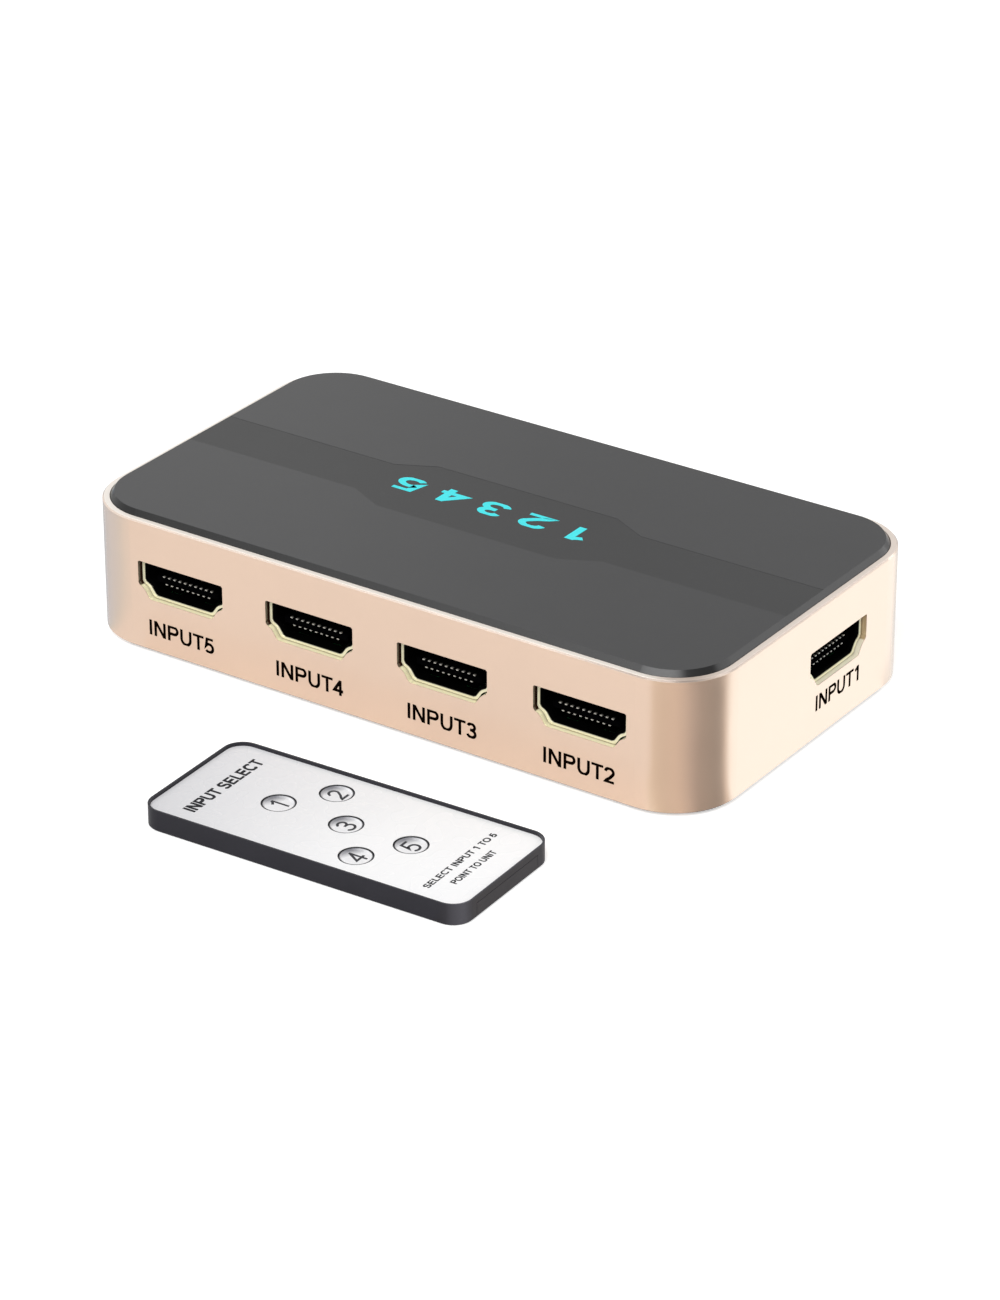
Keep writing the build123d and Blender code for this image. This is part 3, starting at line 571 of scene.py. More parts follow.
# %% Small parts in the walls
dress(grained("jack_black", from_screen(24, 24, 25), 0.42),
      "dc_jack_body", "tact_switch_base", "tact_switch_plunger")
dress(grained("tinned_metal", from_screen(205, 205, 200), 0.3, mottle=0.05, blot=2 * MM, Metallic=0.9),
      "dc_jack_pin", "dc_jack_spring", "crystal", "key_domes", "cell_contacts")
dress(grained("button_gloss", from_screen(22, 22, 23), 0.2, mottle=0.1, Coat_Weight=0.3),
      "select_button")
dress(grained("window_dark", from_screen(34, 8, 14), 0.1, mottle=0.1, depth=0.001 * MM),
      "ir_window", "ir_receiver", "remote_emitter")
dress(grained("light_pipe_clear", from_screen(236, 240, 242), 0.16, mottle=0.02,
              Transmission_Weight=0.7), "light_pipe")
dress(grained("lamp_body", from_screen(228, 231, 235), 0.35), "status_leds")

# %% [markdown]
# ## Circuit boards
# A board is green lacquer over copper tracks, which show as slightly lighter lines. Drawn tracks
# would be lost inside the box, so the cells of a brick pattern stand in for them. Its mortar is the
# tracks, with their right angles.

# %% Board lacquer and chips
TRACK_CELL = 9 * MM
TRACK_WIDTH = 0.035
board = Finish("board_lacquer")
tracks = board.add("ShaderNodeTexBrick", offset=0.37, squash=1.6, squash_frequency=3)
tracks.inputs["Scale"].default_value = 1 / TRACK_CELL
tracks.inputs["Mortar Size"].default_value = TRACK_WIDTH
tracks.inputs["Color1"].default_value = from_screen(16, 84, 46)
tracks.inputs["Color2"].default_value = from_screen(14, 76, 42)
tracks.inputs["Mortar"].default_value = from_screen(44, 124, 74)
board.join(board.place, tracks.inputs["Vector"])
board.colour(tracks.outputs["Color"])
board.gloss(board.noise(3 * MM), 0.22, 0.32)
board.relief(tracks.outputs["Fac"], 0.02 * MM)
dress(board, "main_board", "remote_board")
dress(grained("chip_black", from_screen(26, 26, 27), 0.5, grain=0.12 * MM),
      "switch_chip", "control_chip", "voltage_regulator", "surge_arrays", "remote_chip")
dress(grained("can_bright", from_screen(206, 207, 210), 0.3, mottle=0.03, Metallic=0.95),
      "capacitors", "coin_cell")

# %% [markdown]
# ## The remote
# The remote is a charcoal moulding. Its tail end is a little lighter, and a soft highlight runs
# down the corner in front of it. A lamp could give both, but it would light the box as well, so
# they are part of the colour, which follows the direction of a point from the corner's middle.

# %% Remote mouldings
MOULDING = from_screen(44, 43, 49)
TAIL_TONE = from_screen(61, 60, 66)
TAIL_BLEND = (3.4 * MM, 1.4 * MM)
CORNER_MIDDLE = Vector((41.08, -70.25)) * MM
CORNER_SHINE = from_screen(85, 84, 91)
SHINE_DEGREES = (12, 56, 66, 98)
remote_black = grained("remote_moulding", MOULDING, 0.38, grain=0.15 * MM, depth=0.003 * MM,
                       Specular_IOR_Level=0.2)
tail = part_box("remote_case")[1].x
at_tail = remote_black.ramp(remote_black.axis("X"), *[tail - inset for inset in TAIL_BLEND])
walls = remote_black.mix(at_tail, remote_black.paint, TAIL_TONE)
shine = remote_black.band(remote_black.bearing(CORNER_MIDDLE), *map(math.radians, SHINE_DEGREES))
remote_black.colour(remote_black.mix(shine, walls, CORNER_SHINE))
dress(remote_black, "remote_case", "battery_tray")

# %% [markdown]
# A white satin plate is glued into the remote's lip, faintly brushed across. Its colour carries
# painted light and shade: it is greyest at the emitter's end and towards the front, and whitest at
# the other end and towards the box. Two ramps and a stretched noise say so without a picture.
# Below its face the plate is painted dark, painted shade where the key holes show its thickness.

# %% White plate
WHITEST_SHARE = 0.62
BRUSH_STRENGTH = 0.03
BRUSH_GREY = from_screen(190, 190, 193)
HOLE_SHADE = from_screen(40, 40, 43)
HOLE_BLEND = (0.10 * MM, 0.03 * MM)
plate = Finish("white_plate")
plate_low, plate_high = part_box("remote_face")
plate_x, plate_y, plate_z = plate.axis("X"), plate.axis("Y"), plate.axis("Z")
whitest = plate_low.x + WHITEST_SHARE * (plate_high.x - plate_low.x)
lengthwise = plate.ramp(plate_x, plate_low.x, whitest)
crosswise = plate.ramp(plate_y, plate_low.y, plate_high.y)
# Painted light and shade: grey at the emitter's end and the front, white at the other end and towards the
# box.
shaded_end = plate.mix(crosswise, from_screen(214, 214, 217), from_screen(236, 236, 239))
lit_end = plate.mix(crosswise, from_screen(250, 250, 251), from_screen(255, 255, 255))
brushed = plate.ramp(plate.clouds(0.5 * MM, stretch=(1, 0.02, 1)), 0.0, 1.0, 0.0, BRUSH_STRENGTH)
face_white = plate.mix(brushed, plate.mix(lengthwise, shaded_end, lit_end), BRUSH_GREY)
# Painted shade below the plate's face, in the key holes.
above_holes = plate.ramp(plate_z, *[plate_high.z - inset for inset in HOLE_BLEND])
plate.colour(plate.mix(above_holes, HOLE_SHADE, face_white))
plate.gloss(plate.noise(3 * MM, detail=0.0), 0.24, 0.3)
plate.relief(plate.noise(0.6 * MM), 0.0003 * MM)
dress(plate, "remote_face")

# %% [markdown]
# A key is a white button with a dished top. Its colour holds painted shade: the gap round it and the
# rim of the dish are painted dark, and the dish is painted shaded towards the emitter, away from the
# light. The gap's colour follows the height, and the rim's the distance from the key's middle. Each
# key has its own middle, so each has its own copy of the finish.

# %% Keys
SHADE_WAY = Vector((-0.88, 0.47, 0))
SHADE_START, SHADE_LENGTH = 0.25, 0.65
TOP_RADIUS = 2.4 * MM
RIM_START, RIM_END = 0.93, 0.96
GAP_BLEND = (0.45 * MM, 0.30 * MM)
KEY_WHITE = from_screen(240, 240, 242)
KEY_SHADE = from_screen(128, 128, 134)
GAP_SHADE = from_screen(26, 26, 29)
RIM_SHADE = from_screen(66, 66, 70)


def key_finish(name, middle, top):
    """Returns the finish of one key."""
    key = Finish(name)
    along_shade = key.add("ShaderNodeVectorMath", operation="DOT_PRODUCT")
    key.join(key.place, along_shade.inputs[0])
    along_shade.inputs[1].default_value = SHADE_WAY
    start = middle.dot(SHADE_WAY) + SHADE_START * TOP_RADIUS
    shaded = key.ramp(along_shade.outputs["Value"], start, start + SHADE_LENGTH * TOP_RADIUS)
    above_gap = key.ramp(key.axis("Z"), *[top - inset for inset in GAP_BLEND])
    lit = key.mottled(key.clouds(1.5 * MM), KEY_WHITE, 0.98, 1.02)
    from_middle = key.add("ShaderNodeVectorMath", operation="DISTANCE")
    key.join(key.place, from_middle.inputs[0])
    from_middle.inputs[1].default_value = (middle.x, middle.y, top)
    at_rim = key.ramp(from_middle.outputs["Value"], RIM_START * TOP_RADIUS, RIM_END * TOP_RADIUS)
    # Painted shade on the dish's rim and its far side, and in the gap below.
    face = key.mix(at_rim, key.mix(shaded, lit, KEY_SHADE), RIM_SHADE)
    key.colour(key.mix(above_gap, GAP_SHADE, face))
    key.gloss(key.noise(1.5 * MM, detail=0.0), 0.24, 0.3)
    key.relief(key.noise(0.3 * MM), 0.001 * MM)
    return key


for number in range(1, 6):
    low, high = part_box(f"remote_key_{number}")
    dress(key_finish(f"white_key_{number}", (low + high) / 2, high.z), f"remote_key_{number}")

# %% [markdown]
# ## Printing
# The labels are thin prints of black ink in a plain sans letter. A print could be part of a
# material, but then its edges would be as coarse as the bake. Here each letter is drawn as its
# middle line, made of straight runs and arcs. Sizes are shares of a letter's full height, and the
# first number of each letter is its width with the gap to the next one.

# %% Letters as middle lines
CAP = 0.716
STROKE = 0.092
HALF = STROKE / 2
LOW_LINE = HALF
TOP_LINE = CAP - HALF
ARC_STEP = math.radians(12)


def arc(x, y, width, height, start, end):
    """Returns points on an ellipse from one angle to another, in degrees."""
    first, last = math.radians(start), math.radians(end)
    steps = max(2, round(abs(last - first) / ARC_STEP))
    angles = [first + (last - first) * step / steps for step in range(steps + 1)]
    return [(x + width * math.cos(angle), y + height * math.sin(angle)) for angle in angles]


LETTERS = {
    " ": (0.278, []),
    "I": (0.278, [[(0.139, 0), (0.139, CAP)]]),
    "N": (0.722, [[(0.122, 0), (0.122, CAP), (0.600, 0), (0.600, CAP)]]),
    "P": (0.667, [[(0.125, 0), (0.125, CAP)],
                  [(0.125 + HALF, TOP_LINE), *arc(0.41, 0.507, 0.163, 0.163, 90, -90),
                   (0.125 + HALF, 0.344)]]),
    "U": (0.722, [[(0.127, CAP), *arc(0.362, 0.285, 0.235, 0.249, 180, 360), (0.597, CAP)]]),
    "T": (0.611, [[(0.021, TOP_LINE), (0.591, TOP_LINE)], [(0.306, 0), (0.306, TOP_LINE - HALF)]]),
    "S": (0.667, [[*arc(0.335, 0.520, 0.205, 0.150, 15, 255), *arc(0.335, 0.205, 0.225, 0.160, 75, -168)]]),
    "E": (0.667, [[(0.60, TOP_LINE), (0.125, TOP_LINE), (0.125, LOW_LINE), (0.615, LOW_LINE)],
                  [(0.125 + HALF, 0.37), (0.57, 0.37)]]),
    "L": (0.556, [[(0.12, CAP), (0.12, LOW_LINE), (0.52, LOW_LINE)]]),
    "C": (0.722, [arc(0.385, 0.358, 0.285, 0.312, 38, 322)]),
    "O": (0.778, [arc(0.389, 0.358, 0.300, 0.312, 0, 360)]),
    "1": (0.556, [[(0.327, 0), (0.327, CAP)],
                  [(0.115, 0.535), (0.215, 0.590), (0.285, 0.655), (0.327, 0.760)]]),
    "2": (0.556, [[*arc(0.275, 0.500, 0.190, 0.170, 176, -28), (0.300, 0.250), (0.140, 0.120),
                   (0.085, LOW_LINE), (0.503, LOW_LINE)]]),
    "3": (0.556, [[*arc(0.265, 0.525, 0.165, 0.145, 165, -90), (0.200, 0.380)],
                  [(0.230, 0.380), *arc(0.265, 0.213, 0.195, 0.167, 90, -165)]]),
    "4": (0.556, [[(0.370, 0), (0.370, CAP)], [(0.385, 0.700), (0.070, 0.215), (0.515, 0.215)]]),
    "5": (0.556, [[(0.478, TOP_LINE), (0.165, TOP_LINE), (0.112, 0.335), (0.150, 0.375),
                   *arc(0.268, 0.235, 0.200, 0.190, 118, -142)]]),
}
print("letters drawn:", "".join(sorted(LETTERS)))

# %% [markdown]
# The middle lines of a word are drawn as a curve, which becomes a mesh and is raised to low walls.
# Strokes that cross lie in layers a hair apart, so that no two faces share a place.

# %% Words as walls
LAYER = 0.02
MEETING = 0.001


def walls_of(words):
    """Draws words as straight splines, makes them a mesh, and raises the lines to walls."""
    drawing = bpy.data.curves.new("word", "CURVE")
    drawing.dimensions = "3D"
    left = 0.0
    for letter in words:
        advance, strokes = LETTERS[letter]
        for layer, stroke in enumerate(strokes):
            spline = drawing.splines.new("POLY")
            closed = len(stroke) > 2 and math.dist(stroke[0], stroke[-1]) < MEETING
            points = stroke[:-1] if closed else stroke
            spline.points.add(len(points) - 1)
            for point, (x, y) in zip(spline.points, points):
                point.co = (left + x, y, layer * LAYER, 1)
            spline.use_cyclic_u = closed
        left += advance
    word = bpy.data.objects.new("word", drawing)
    bpy.context.scene.collection.objects.link(word)
    make_active(word)
    bpy.ops.object.convert(target="MESH")
    word = bpy.context.object
    bpy.ops.object.mode_set(mode="EDIT")
    bpy.ops.mesh.select_mode(type="VERT")
    bpy.ops.mesh.select_all(action="SELECT")
    bpy.ops.mesh.extrude_region_move(TRANSFORM_OT_translate={"value": (0, 0, 1)})
    bpy.ops.object.mode_set(mode="OBJECT")
    return word


print("strokes that cross lie", round(LAYER / CAP, 3), "of a capital's height apart")

# %% [markdown]
# The Solidify modifier gives the walls the width of the stroke. Two cuts then trim the letters at
# their foot and at their cap height, as a type designer would.

# %% Walls as strokes
TRIM = 0.0001


def widened(word, weight):
    """Gives the walls of a word the width of a stroke, and trims them at both heights."""
    widen = word.modifiers.new("widen", "SOLIDIFY")
    widen.thickness = STROKE * weight
    widen.offset = 0
    widen.use_even_offset = True
    widen.use_quality_normals = True
    bpy.ops.object.modifier_apply(modifier="widen")
    bpy.ops.object.mode_set(mode="EDIT")
    for height, upward in ((0, -1), (CAP, 1)):
        bpy.ops.mesh.select_all(action="SELECT")
        bpy.ops.mesh.bisect(plane_co=(0, height + upward * TRIM, 0), plane_no=(0, upward, 0),
                            use_fill=True, clear_outer=True)
    bpy.ops.mesh.select_all(action="SELECT")
    bpy.ops.mesh.normals_make_consistent(inside=False)
    bpy.ops.object.mode_set(mode="OBJECT")
    return word


print("a stroke is", round(STROKE / CAP, 3), "of a capital's height")

# %% [markdown]
# A finished word is scaled to its real length and cap height, laid on its face, and given to the
# body that it rides with.

# %% Print helper
PRINT_THICKNESS = 0.02 * MM


def extent(piece):
    """Returns the lowest and highest corner of a mesh in its own coordinates."""
    corners = [Vector(corner) for corner in piece.bound_box]
    low = Vector([min(corner[axis] for corner in corners) for axis in range(3)])
    high = Vector([max(corner[axis] for corner in corners) for axis in range(3)])
    return low, high


def printed(name, words, size, turn, place, finish, body, weight=1.0):
    """Prints words of a length and cap height on a face, and lets them ride with a body."""
    piece = widened(walls_of(words), weight)
    piece.name = name
    low, high = extent(piece)
    middle = Vector(((low.x + high.x) / 2, CAP / 2, low.z))
    scale = Matrix.Diagonal((size[0] / (high.x - low.x), size[1] / CAP, PRINT_THICKNESS, 1.0))
    piece.data.transform(scale @ Matrix.Translation(-middle))
    piece.rotation_euler = turn
    piece.location = place
    make_active(piece)
    bpy.ops.object.transform_apply(location=True, rotation=True, scale=True)
    wear(piece, finish)
    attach(piece, body)


def middle_of(name):
    """Returns the middle of a node's box."""
    low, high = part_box(name)
    return (low + high) / 2


ink = grained("label_ink", from_screen(10, 4, 2), 0.5, grain=0.1 * MM, Specular_IOR_Level=0.0)
print("print thickness in millimetres:", PRINT_THICKNESS / MM)

# %% [markdown]
# Every input has its label under the socket, four on the front and one on the right end. The ink is
# a dull near-black, drawn a little bolder than plain type, as screen printing spreads.

# %% Labels under the sockets
LABEL_SIZE = (12.3 * MM, 2.54 * MM)
LABEL_HEIGHT = 4.55 * MM
END_LABEL_HEIGHT = 6.35 * MM
LABEL_WEIGHT = 1.46
quarter_turn = math.radians(90)

for number in (2, 3, 4, 5):
    place = (middle_of(f"input_{number}_shell").x, frame_low.y, LABEL_HEIGHT)
    printed(f"label_input_{number}", f"INPUT{number}", LABEL_SIZE, (quarter_turn, 0, 0), place, ink,
            "switch", weight=LABEL_WEIGHT)
place = (frame_high.x, middle_of("input_1_shell").y, END_LABEL_HEIGHT)
printed("label_input_1", "INPUT1", LABEL_SIZE, (quarter_turn, 0, quarter_turn), place, ink,
        "switch", weight=LABEL_WEIGHT)
print("labels: 5")

# %% [markdown]
# The cover carries plain cyan numerals in the band, which read from the user's side. They stand for
# the five inputs. The same letters serve, stretched wide and drawn bolder.

# %% Numerals on the cover
cyan = grained("cyan_print", from_screen(66, 236, 242), 0.35, mottle=0.02, Specular_IOR_Level=0.2)
NUMERALS_SIZE = (35 * MM, 4.4 * MM)
NUMERALS_WEIGHT = 1.5
numerals_place = (-1.3 * MM, 0.6 * MM, cover_top - BAND_DEPTH)
printed("cover_numerals", "1 2 3 4 5", NUMERALS_SIZE, (0, 0, math.radians(180)), numerals_place, cyan,
        "switch", weight=NUMERALS_WEIGHT)
print("numerals on the cover:", round(NUMERALS_SIZE[0] / MM), "mm long")

# %% [markdown]
# The keys carry a thin numeral each, turned so that its top points to the end with the emitter.
# The line from the first key to the last gives the remote's own direction.

# %% Numerals on the keys
key_line = middle_of("remote_key_5") - middle_of("remote_key_1")
remote_turn = math.atan2(key_line.y, key_line.x)
across_remote = (0, 0, remote_turn + quarter_turn)
key_ink = grained("key_ink", from_screen(46, 46, 50), 0.4, Specular_IOR_Level=0.2)
KEY_DISH = 0.2 * MM
NUMERAL_HEIGHT = 3.1 * MM
NUMERAL_WIDTHS = {1: 1.1 * MM, 2: 2.0 * MM, 3: 2.0 * MM, 4: 2.15 * MM, 5: 2.0 * MM}
for number, width in NUMERAL_WIDTHS.items():
    middle = middle_of(f"remote_key_{number}")
    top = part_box(f"remote_key_{number}")[1].z
    place = (middle.x, middle.y, top - KEY_DISH)
    printed(f"key_numeral_{number}", str(number), (width, NUMERAL_HEIGHT), across_remote,
            place, key_ink, f"key_{number}")
print("the remote is turned by", round(math.degrees(remote_turn), 3), "degrees")

# %% [markdown]
# The white plate has a title at one end and two lines of small print at the other. Plain words for
# what the keys do stand there. Each place is given from the plate's middle, along the remote and
# across it, because the remote lies at a slight angle.

# %% Print on the white plate
plate_middle = (plate_low + plate_high) / 2
along_remote = Vector((math.cos(remote_turn), math.sin(remote_turn), 0))
left_of_remote = Vector((-math.sin(remote_turn), math.cos(remote_turn), 0))
PLATE_PRINTS = {
    "plate_title": ("INPUT SELECT", (-20.9, 0.0), (17.5, 2.1), 1.9),
    "plate_line_1": ("SELECT INPUT 1 TO 5", (19.4, 0.0), (17.8, 1.1), 1.7),
    "plate_line_2": ("POINT TO UNIT", (22.0, -0.6), (10.6, 1.1), 1.7),
}
plate_ink = grained("plate_ink", from_screen(24, 24, 28), 0.4, Specular_IOR_Level=0.1)
for name, (words, (lengthwise, sideways), (length, height), weight) in PLATE_PRINTS.items():
    place = plate_middle + along_remote * lengthwise * MM + left_of_remote * sideways * MM
    place.z = plate_high.z
    printed(name, words, (length * MM, height * MM), across_remote, place, plate_ink,
            "remote", weight=weight)
print("prints on the plate:", len(PLATE_PRINTS))

# %% [markdown]
# ## Studio
# The photograph is a cut-out on white. The floor is pale and plain, still takes the object's
# shadow, and glows a little for the camera alone, so that it meets the background without a line.

# %% Floor
FLOOR_SIZE = 8.0
FLOOR_TONES = (0.80, 0.80, 0.80, 1), (0.82, 0.82, 0.82, 1)
GLOW_SEEN = 0.5
clear_selection()
bpy.ops.mesh.primitive_grid_add(x_subdivisions=8, y_subdivisions=8, size=FLOOR_SIZE)
floor = bpy.context.object
floor.name = "studio_floor"
floor_finish = Finish("studio_floor")
floor_finish.colour(floor_finish.mix(floor_finish.clouds(0.4), *FLOOR_TONES))
floor_finish.fixed(Roughness=1.0, Specular_IOR_Level=0.0, Emission_Color=(1, 1, 1, 1))
rays = floor_finish.add("ShaderNodeLightPath")
glow = floor_finish.math("MULTIPLY", rays.outputs["Is Camera Ray"], GLOW_SEEN)
floor_finish.join(glow, floor_finish.shader.inputs["Emission Strength"])
wear(floor, floor_finish)
print("the floor is", FLOOR_SIZE, "m wide")

# %% [markdown]
# A white world is the background. At full strength its light would wash out every shadow, so it is
# white only to the camera, to mirrored rays and through clear plastic, and dimmer as a light.

# %% World
DIFFUSE_LEVEL = 0.42
world = bpy.data.worlds.new("studio_world")
bpy.context.scene.world = world
world.use_nodes = True
background = world.node_tree.nodes["Background"]
background.inputs["Color"].default_value = (1, 1, 1, 1)
seen = world.node_tree.nodes.new("ShaderNodeLightPath")
level = seen.outputs["Is Camera Ray"]
for kind in ("Is Glossy Ray", "Is Transmission Ray", None):
    larger = world.node_tree.nodes.new("ShaderNodeMath")
    larger.operation = "MAXIMUM"
    larger.inputs[1].default_value = DIFFUSE_LEVEL
    world.node_tree.links.new(level, larger.inputs[0])
    if kind:
        world.node_tree.links.new(seen.outputs[kind], larger.inputs[1])
    level = larger.outputs[0]
world.node_tree.links.new(level, background.inputs["Strength"])
print("the world lights at", DIFFUSE_LEVEL, "of white")

# %% [markdown]
# Two large soft lamps stand a metre away. One lights the top and the front from high up, a little
# to the right, and the other comes from low behind the right end. Neither is mirrored: the cards
# below make the reflections, so light and reflections can be set one at a time.

# %% Lamps
AIM = Vector((0.0, -0.015, 0.01))
LAMP_DISTANCE = 1.0
LAMPS = {
    "front_box": ((0.17, -0.62, 0.77), 0.6, 6.9),
    "back_right_box": ((0.59, 0.73, 0.34), 0.5, 2.4),
}
for name, (direction, size, power) in LAMPS.items():
    lamp = bpy.data.lights.new(name, "AREA")
    lamp.shape = "SQUARE"
    lamp.size = size
    lamp.energy = power
    holder = bpy.data.objects.new(name, lamp)
    bpy.context.scene.collection.objects.link(holder)
    toward = Vector(direction).normalized()
    holder.location = AIM + toward * LAMP_DISTANCE
    holder.rotation_euler = toward.to_track_quat("Z", "Y").to_euler()
    holder.visible_glossy = False
print("lamps:", len(LAMPS))

# %% [markdown]
# A photographer shapes the reflections in metal with cards. Here each is a flat outline that glows
# and that only mirrored rays see. The curve of a corner mirrors a different way at each place, so a
# card's colour follows the direction from a point just inside the corner.

# %% Helpers for cards


def card(name, corners, color=(1, 1, 1, 1)):
    """Makes a flat card of any outline that only mirrored rays see. Its corners are in millimetres."""
    clear_selection()
    bpy.ops.mesh.primitive_circle_add(vertices=len(corners), fill_type="NGON")
    piece = bpy.context.object
    piece.name = name
    for vertex, corner in zip(piece.data.vertices, corners):
        vertex.co = [value * MM for value in corner]
    finish = Finish(name)
    finish.fixed(Base_Color=(0, 0, 0, 1), Specular_IOR_Level=0.0, Emission_Color=color,
                 Emission_Strength=1.0)
    finish.material.cycles.emission_sampling = "NONE"
    wear(piece, finish)
    for rays in ("camera", "diffuse", "transmission", "shadow"):
        setattr(piece, "visible_" + rays, False)
    return finish


def turned(finish, pivot, stops):
    """Colours a card by the direction, in degrees from the front, in which a point lies from a pivot."""
    brightest = max(max(color) for color in stops.values())
    first, last = min(stops), max(stops)
    profile = finish.add("ShaderNodeValToRGB")
    places = profile.color_ramp.elements
    while len(places) < len(stops):
        places.new(0.5)
    for place, degrees in zip(places, sorted(stops)):
        place.position = (degrees - first) / (last - first)
        place.color = (*[value / brightest for value in stops[degrees]], 1)
    share = finish.ramp(finish.bearing(pivot), math.radians(first), math.radians(last))
    finish.join(share, profile.inputs["Fac"])
    finish.join(profile.outputs["Color"], finish.shader.inputs["Emission Color"])
    finish.fixed(Emission_Strength=brightest)


print("cards are hidden from all but mirrored rays")

# %% [markdown]
# Three cards stand or lie before the box. The one round the right front corner is white at the
# left, warm grey towards the corner, black beyond it and bright along the right end. The one at the
# left is cool grey, as is an upright one that keeps the front from mirroring the remote.

# %% Cards before the box
CARD_HEIGHT = 0.3
FRONT_CARD_TOP = 27
RIGHT_PIVOT = Vector((50.0, -25.75)) * MM
LEFT_PIVOT = Vector((-50.0, -25.75)) * MM
RIGHT_STOPS = {
    -25: (1.00, 1.00, 1.00),
    -14: (0.71, 0.68, 0.60),
    -4: (0.56, 0.50, 0.41),
    10: (0.48, 0.42, 0.345),
    31: (0.51, 0.42, 0.35),
    48: (0.37, 0.31, 0.27),
    60: (0.20, 0.16, 0.15),
    72: (0.09, 0.07, 0.06),
    100: (0.04, 0.04, 0.04),
    111: (0.14, 0.14, 0.14),
    119: (0.68, 0.64, 0.60),
    127: (1.25, 1.42, 1.52),
}
LEFT_STOPS = {
    -120: (0.54, 0.65, 0.76),
    -74: (0.55, 0.66, 0.79),
    -53: (0.56, 0.67, 0.77),
    -37: (0.62, 0.70, 0.74),
    -14: (0.79, 0.79, 0.80),
}
RIGHT_OUTLINE = [(47, -33.2), (30, -130), (170, -130), (170, 120), (124, 120), (55.8, 20.6), (55.8, -22)]
LEFT_OUTLINE = [(-44, -32.6), (-57.2, -24), (-57.2, 60), (-200, 60), (-200, -130), (-111, -130)]


def flat_card(name, outline, **settings):
    """Lays a card just above the floor."""
    return card(name, [(x, y, CARD_HEIGHT) for x, y in outline], **settings)


turned(flat_card("right_card", RIGHT_OUTLINE), RIGHT_PIVOT, RIGHT_STOPS)
turned(flat_card("left_card", LEFT_OUTLINE), LEFT_PIVOT, LEFT_STOPS)
front_corners = [(-90, -43, CARD_HEIGHT), (47, -43, CARD_HEIGHT),
                 (47, -43, FRONT_CARD_TOP), (-90, -43, FRONT_CARD_TOP)]
turned(card("front_card", front_corners), LEFT_PIVOT, LEFT_STOPS)
print("cards before the box: 3")

# %% [markdown]
# A bluish card lies behind the right end, for the ring's edge there. It grows brighter to the right,
# so its level follows X and not a direction.

# %% Card behind the right end
REAR_OUTLINE = [(55.8, 20.6), (124, 120), (36, 120), (36, 32.5)]
REAR_CARD_TINT = (0.82, 0.93, 1.0, 1)
REAR_CORNER_LEVELS = (53.5 * MM, 60 * MM, 0.95, 1.52)
REAR_EDGE_LEVELS = (36 * MM, 48 * MM, 0.72, 1.0)
rear_card = flat_card("rear_card", REAR_OUTLINE, color=REAR_CARD_TINT)
rear_x = rear_card.axis("X")
rear_level = rear_card.math("MULTIPLY", rear_card.ramp(rear_x, *REAR_CORNER_LEVELS),
                            rear_card.ramp(rear_x, *REAR_EDGE_LEVELS))
rear_card.join(rear_level, rear_card.shader.inputs["Emission Strength"])
print("the card behind ends at", max(y for _, y in REAR_OUTLINE), "mm")

# %% [markdown]
# Nine more hang round the box. The cover's bevel mirrors a bright panel that grows towards the
# corner, then a dark flag, then the end's own panels. Three more flags keep the ring's rim quiet.
# These eight are a metre away and cover a range of directions. The last, a wide card behind the
# box, is graded from left to right and gives the cover's top its tone.

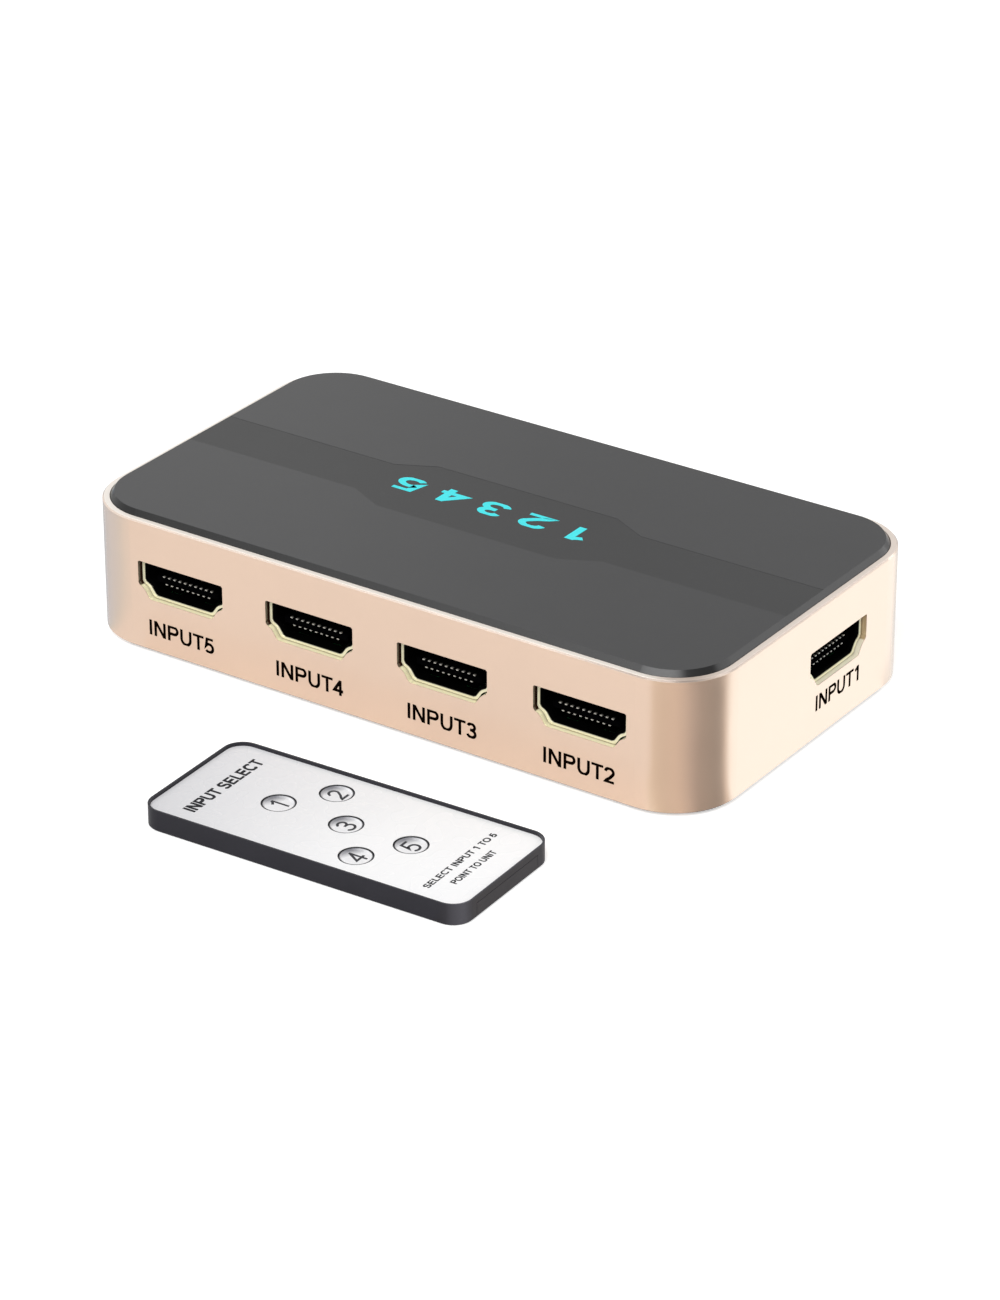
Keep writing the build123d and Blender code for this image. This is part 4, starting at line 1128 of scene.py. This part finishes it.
# %% Hanging cards
HANG_DISTANCE = 1000
HANGING_CARDS = {
    "bevel_front": ((-60, -20), (24, 43), {-43.5: 1.1, -32: 2.75, -29: 2.9, -23: 5.6}),
    "bevel_corner": ((-20, 56), (30, 50), {-20: 5.6, 28: 5.8, 42: 4.2, 50: 1.8, 56: 0.8}),
    "corner_flag": ((56, 110), (22, 54), {56: 0.75, 80: 0.5, 104: 0.45, 110: 0.9}),
    "end_panel_near": ((110, 130), (12, 34), {110: 1.8, 122: 2.2, 130: 2.15}),
    "end_panel_far": ((130, 162), (6, 24), {130: 2.15, 140: 2.1}),
    "rim_flag_front": ((-22, 40), (51, 76), {-22: 0.6, -5: 0.3, 40: 0.3}),
    "rim_flag_end": ((40, 100), (51, 76), {40: 0.3, 100: 0.4}),
    "rim_flag_far": ((128, 165), (25, 40), {128: 0.3, 165: 0.3}),
}


def hung(azimuth, elevation):
    """Returns the point in a direction, in degrees from the front and up from the floor."""
    around, up = math.radians(azimuth), math.radians(elevation)
    sideways, depth = math.sin(around) * math.cos(up), -math.cos(around) * math.cos(up)
    return [HANG_DISTANCE * share for share in (sideways, depth, math.sin(up))]


for name, ((first, last), (lowest, highest), levels) in HANGING_CARDS.items():
    corners = [hung(first, lowest), hung(last, lowest), hung(last, highest), hung(first, highest)]
    greys = {degrees: (level, level, level) for degrees, level in levels.items()}
    turned(card(name, corners), Vector((0, 0)), greys)

TOP_CARD = [(-700, 350, 90), (150, 350, 90), (150, 350, 420), (-700, 350, 420)]
TOP_FALL = (-0.30, -0.22, 0.92, 0.75)
TOP_RISE = (0.0, 0.15, 0.0, 1.0)
top_card = card("top_card", TOP_CARD)
top_x = top_card.axis("X")
top_level = top_card.math("MAXIMUM", top_card.ramp(top_x, *TOP_FALL), top_card.ramp(top_x, *TOP_RISE))
top_card.join(top_level, top_card.shader.inputs["Emission Strength"])
print("cards that hang:", len(HANGING_CARDS) + 1)

# %% [markdown]
# ## Camera
# The camera was worked out from the box's edges in the photograph: a long lens from above the
# right front corner. Its place could be guessed by eye and nudged, but a fit lets every edge of the
# render fall on the photograph's.

# %% Camera
LENS = 133.07
SENSOR = 36.0
CAMERA_PLACE = (0.36908, -0.53829, 0.33432)
CAMERA_TURN = math.radians(34.387)
CAMERA_DOWN = math.radians(27.165)
camera_data = bpy.data.cameras.new("camera")
camera_data.lens = LENS
camera_data.sensor_width = SENSOR
camera = bpy.data.objects.new("camera", camera_data)
bpy.context.scene.collection.objects.link(camera)
camera.location = CAMERA_PLACE
camera.rotation_euler = Euler((math.radians(90) - CAMERA_DOWN, 0, CAMERA_TURN))
bpy.context.scene.camera = camera
bpy.context.scene.view_settings.view_transform = "Standard"
print("the camera looks down by", round(math.degrees(CAMERA_DOWN), 1), "degrees")

# %% [markdown]
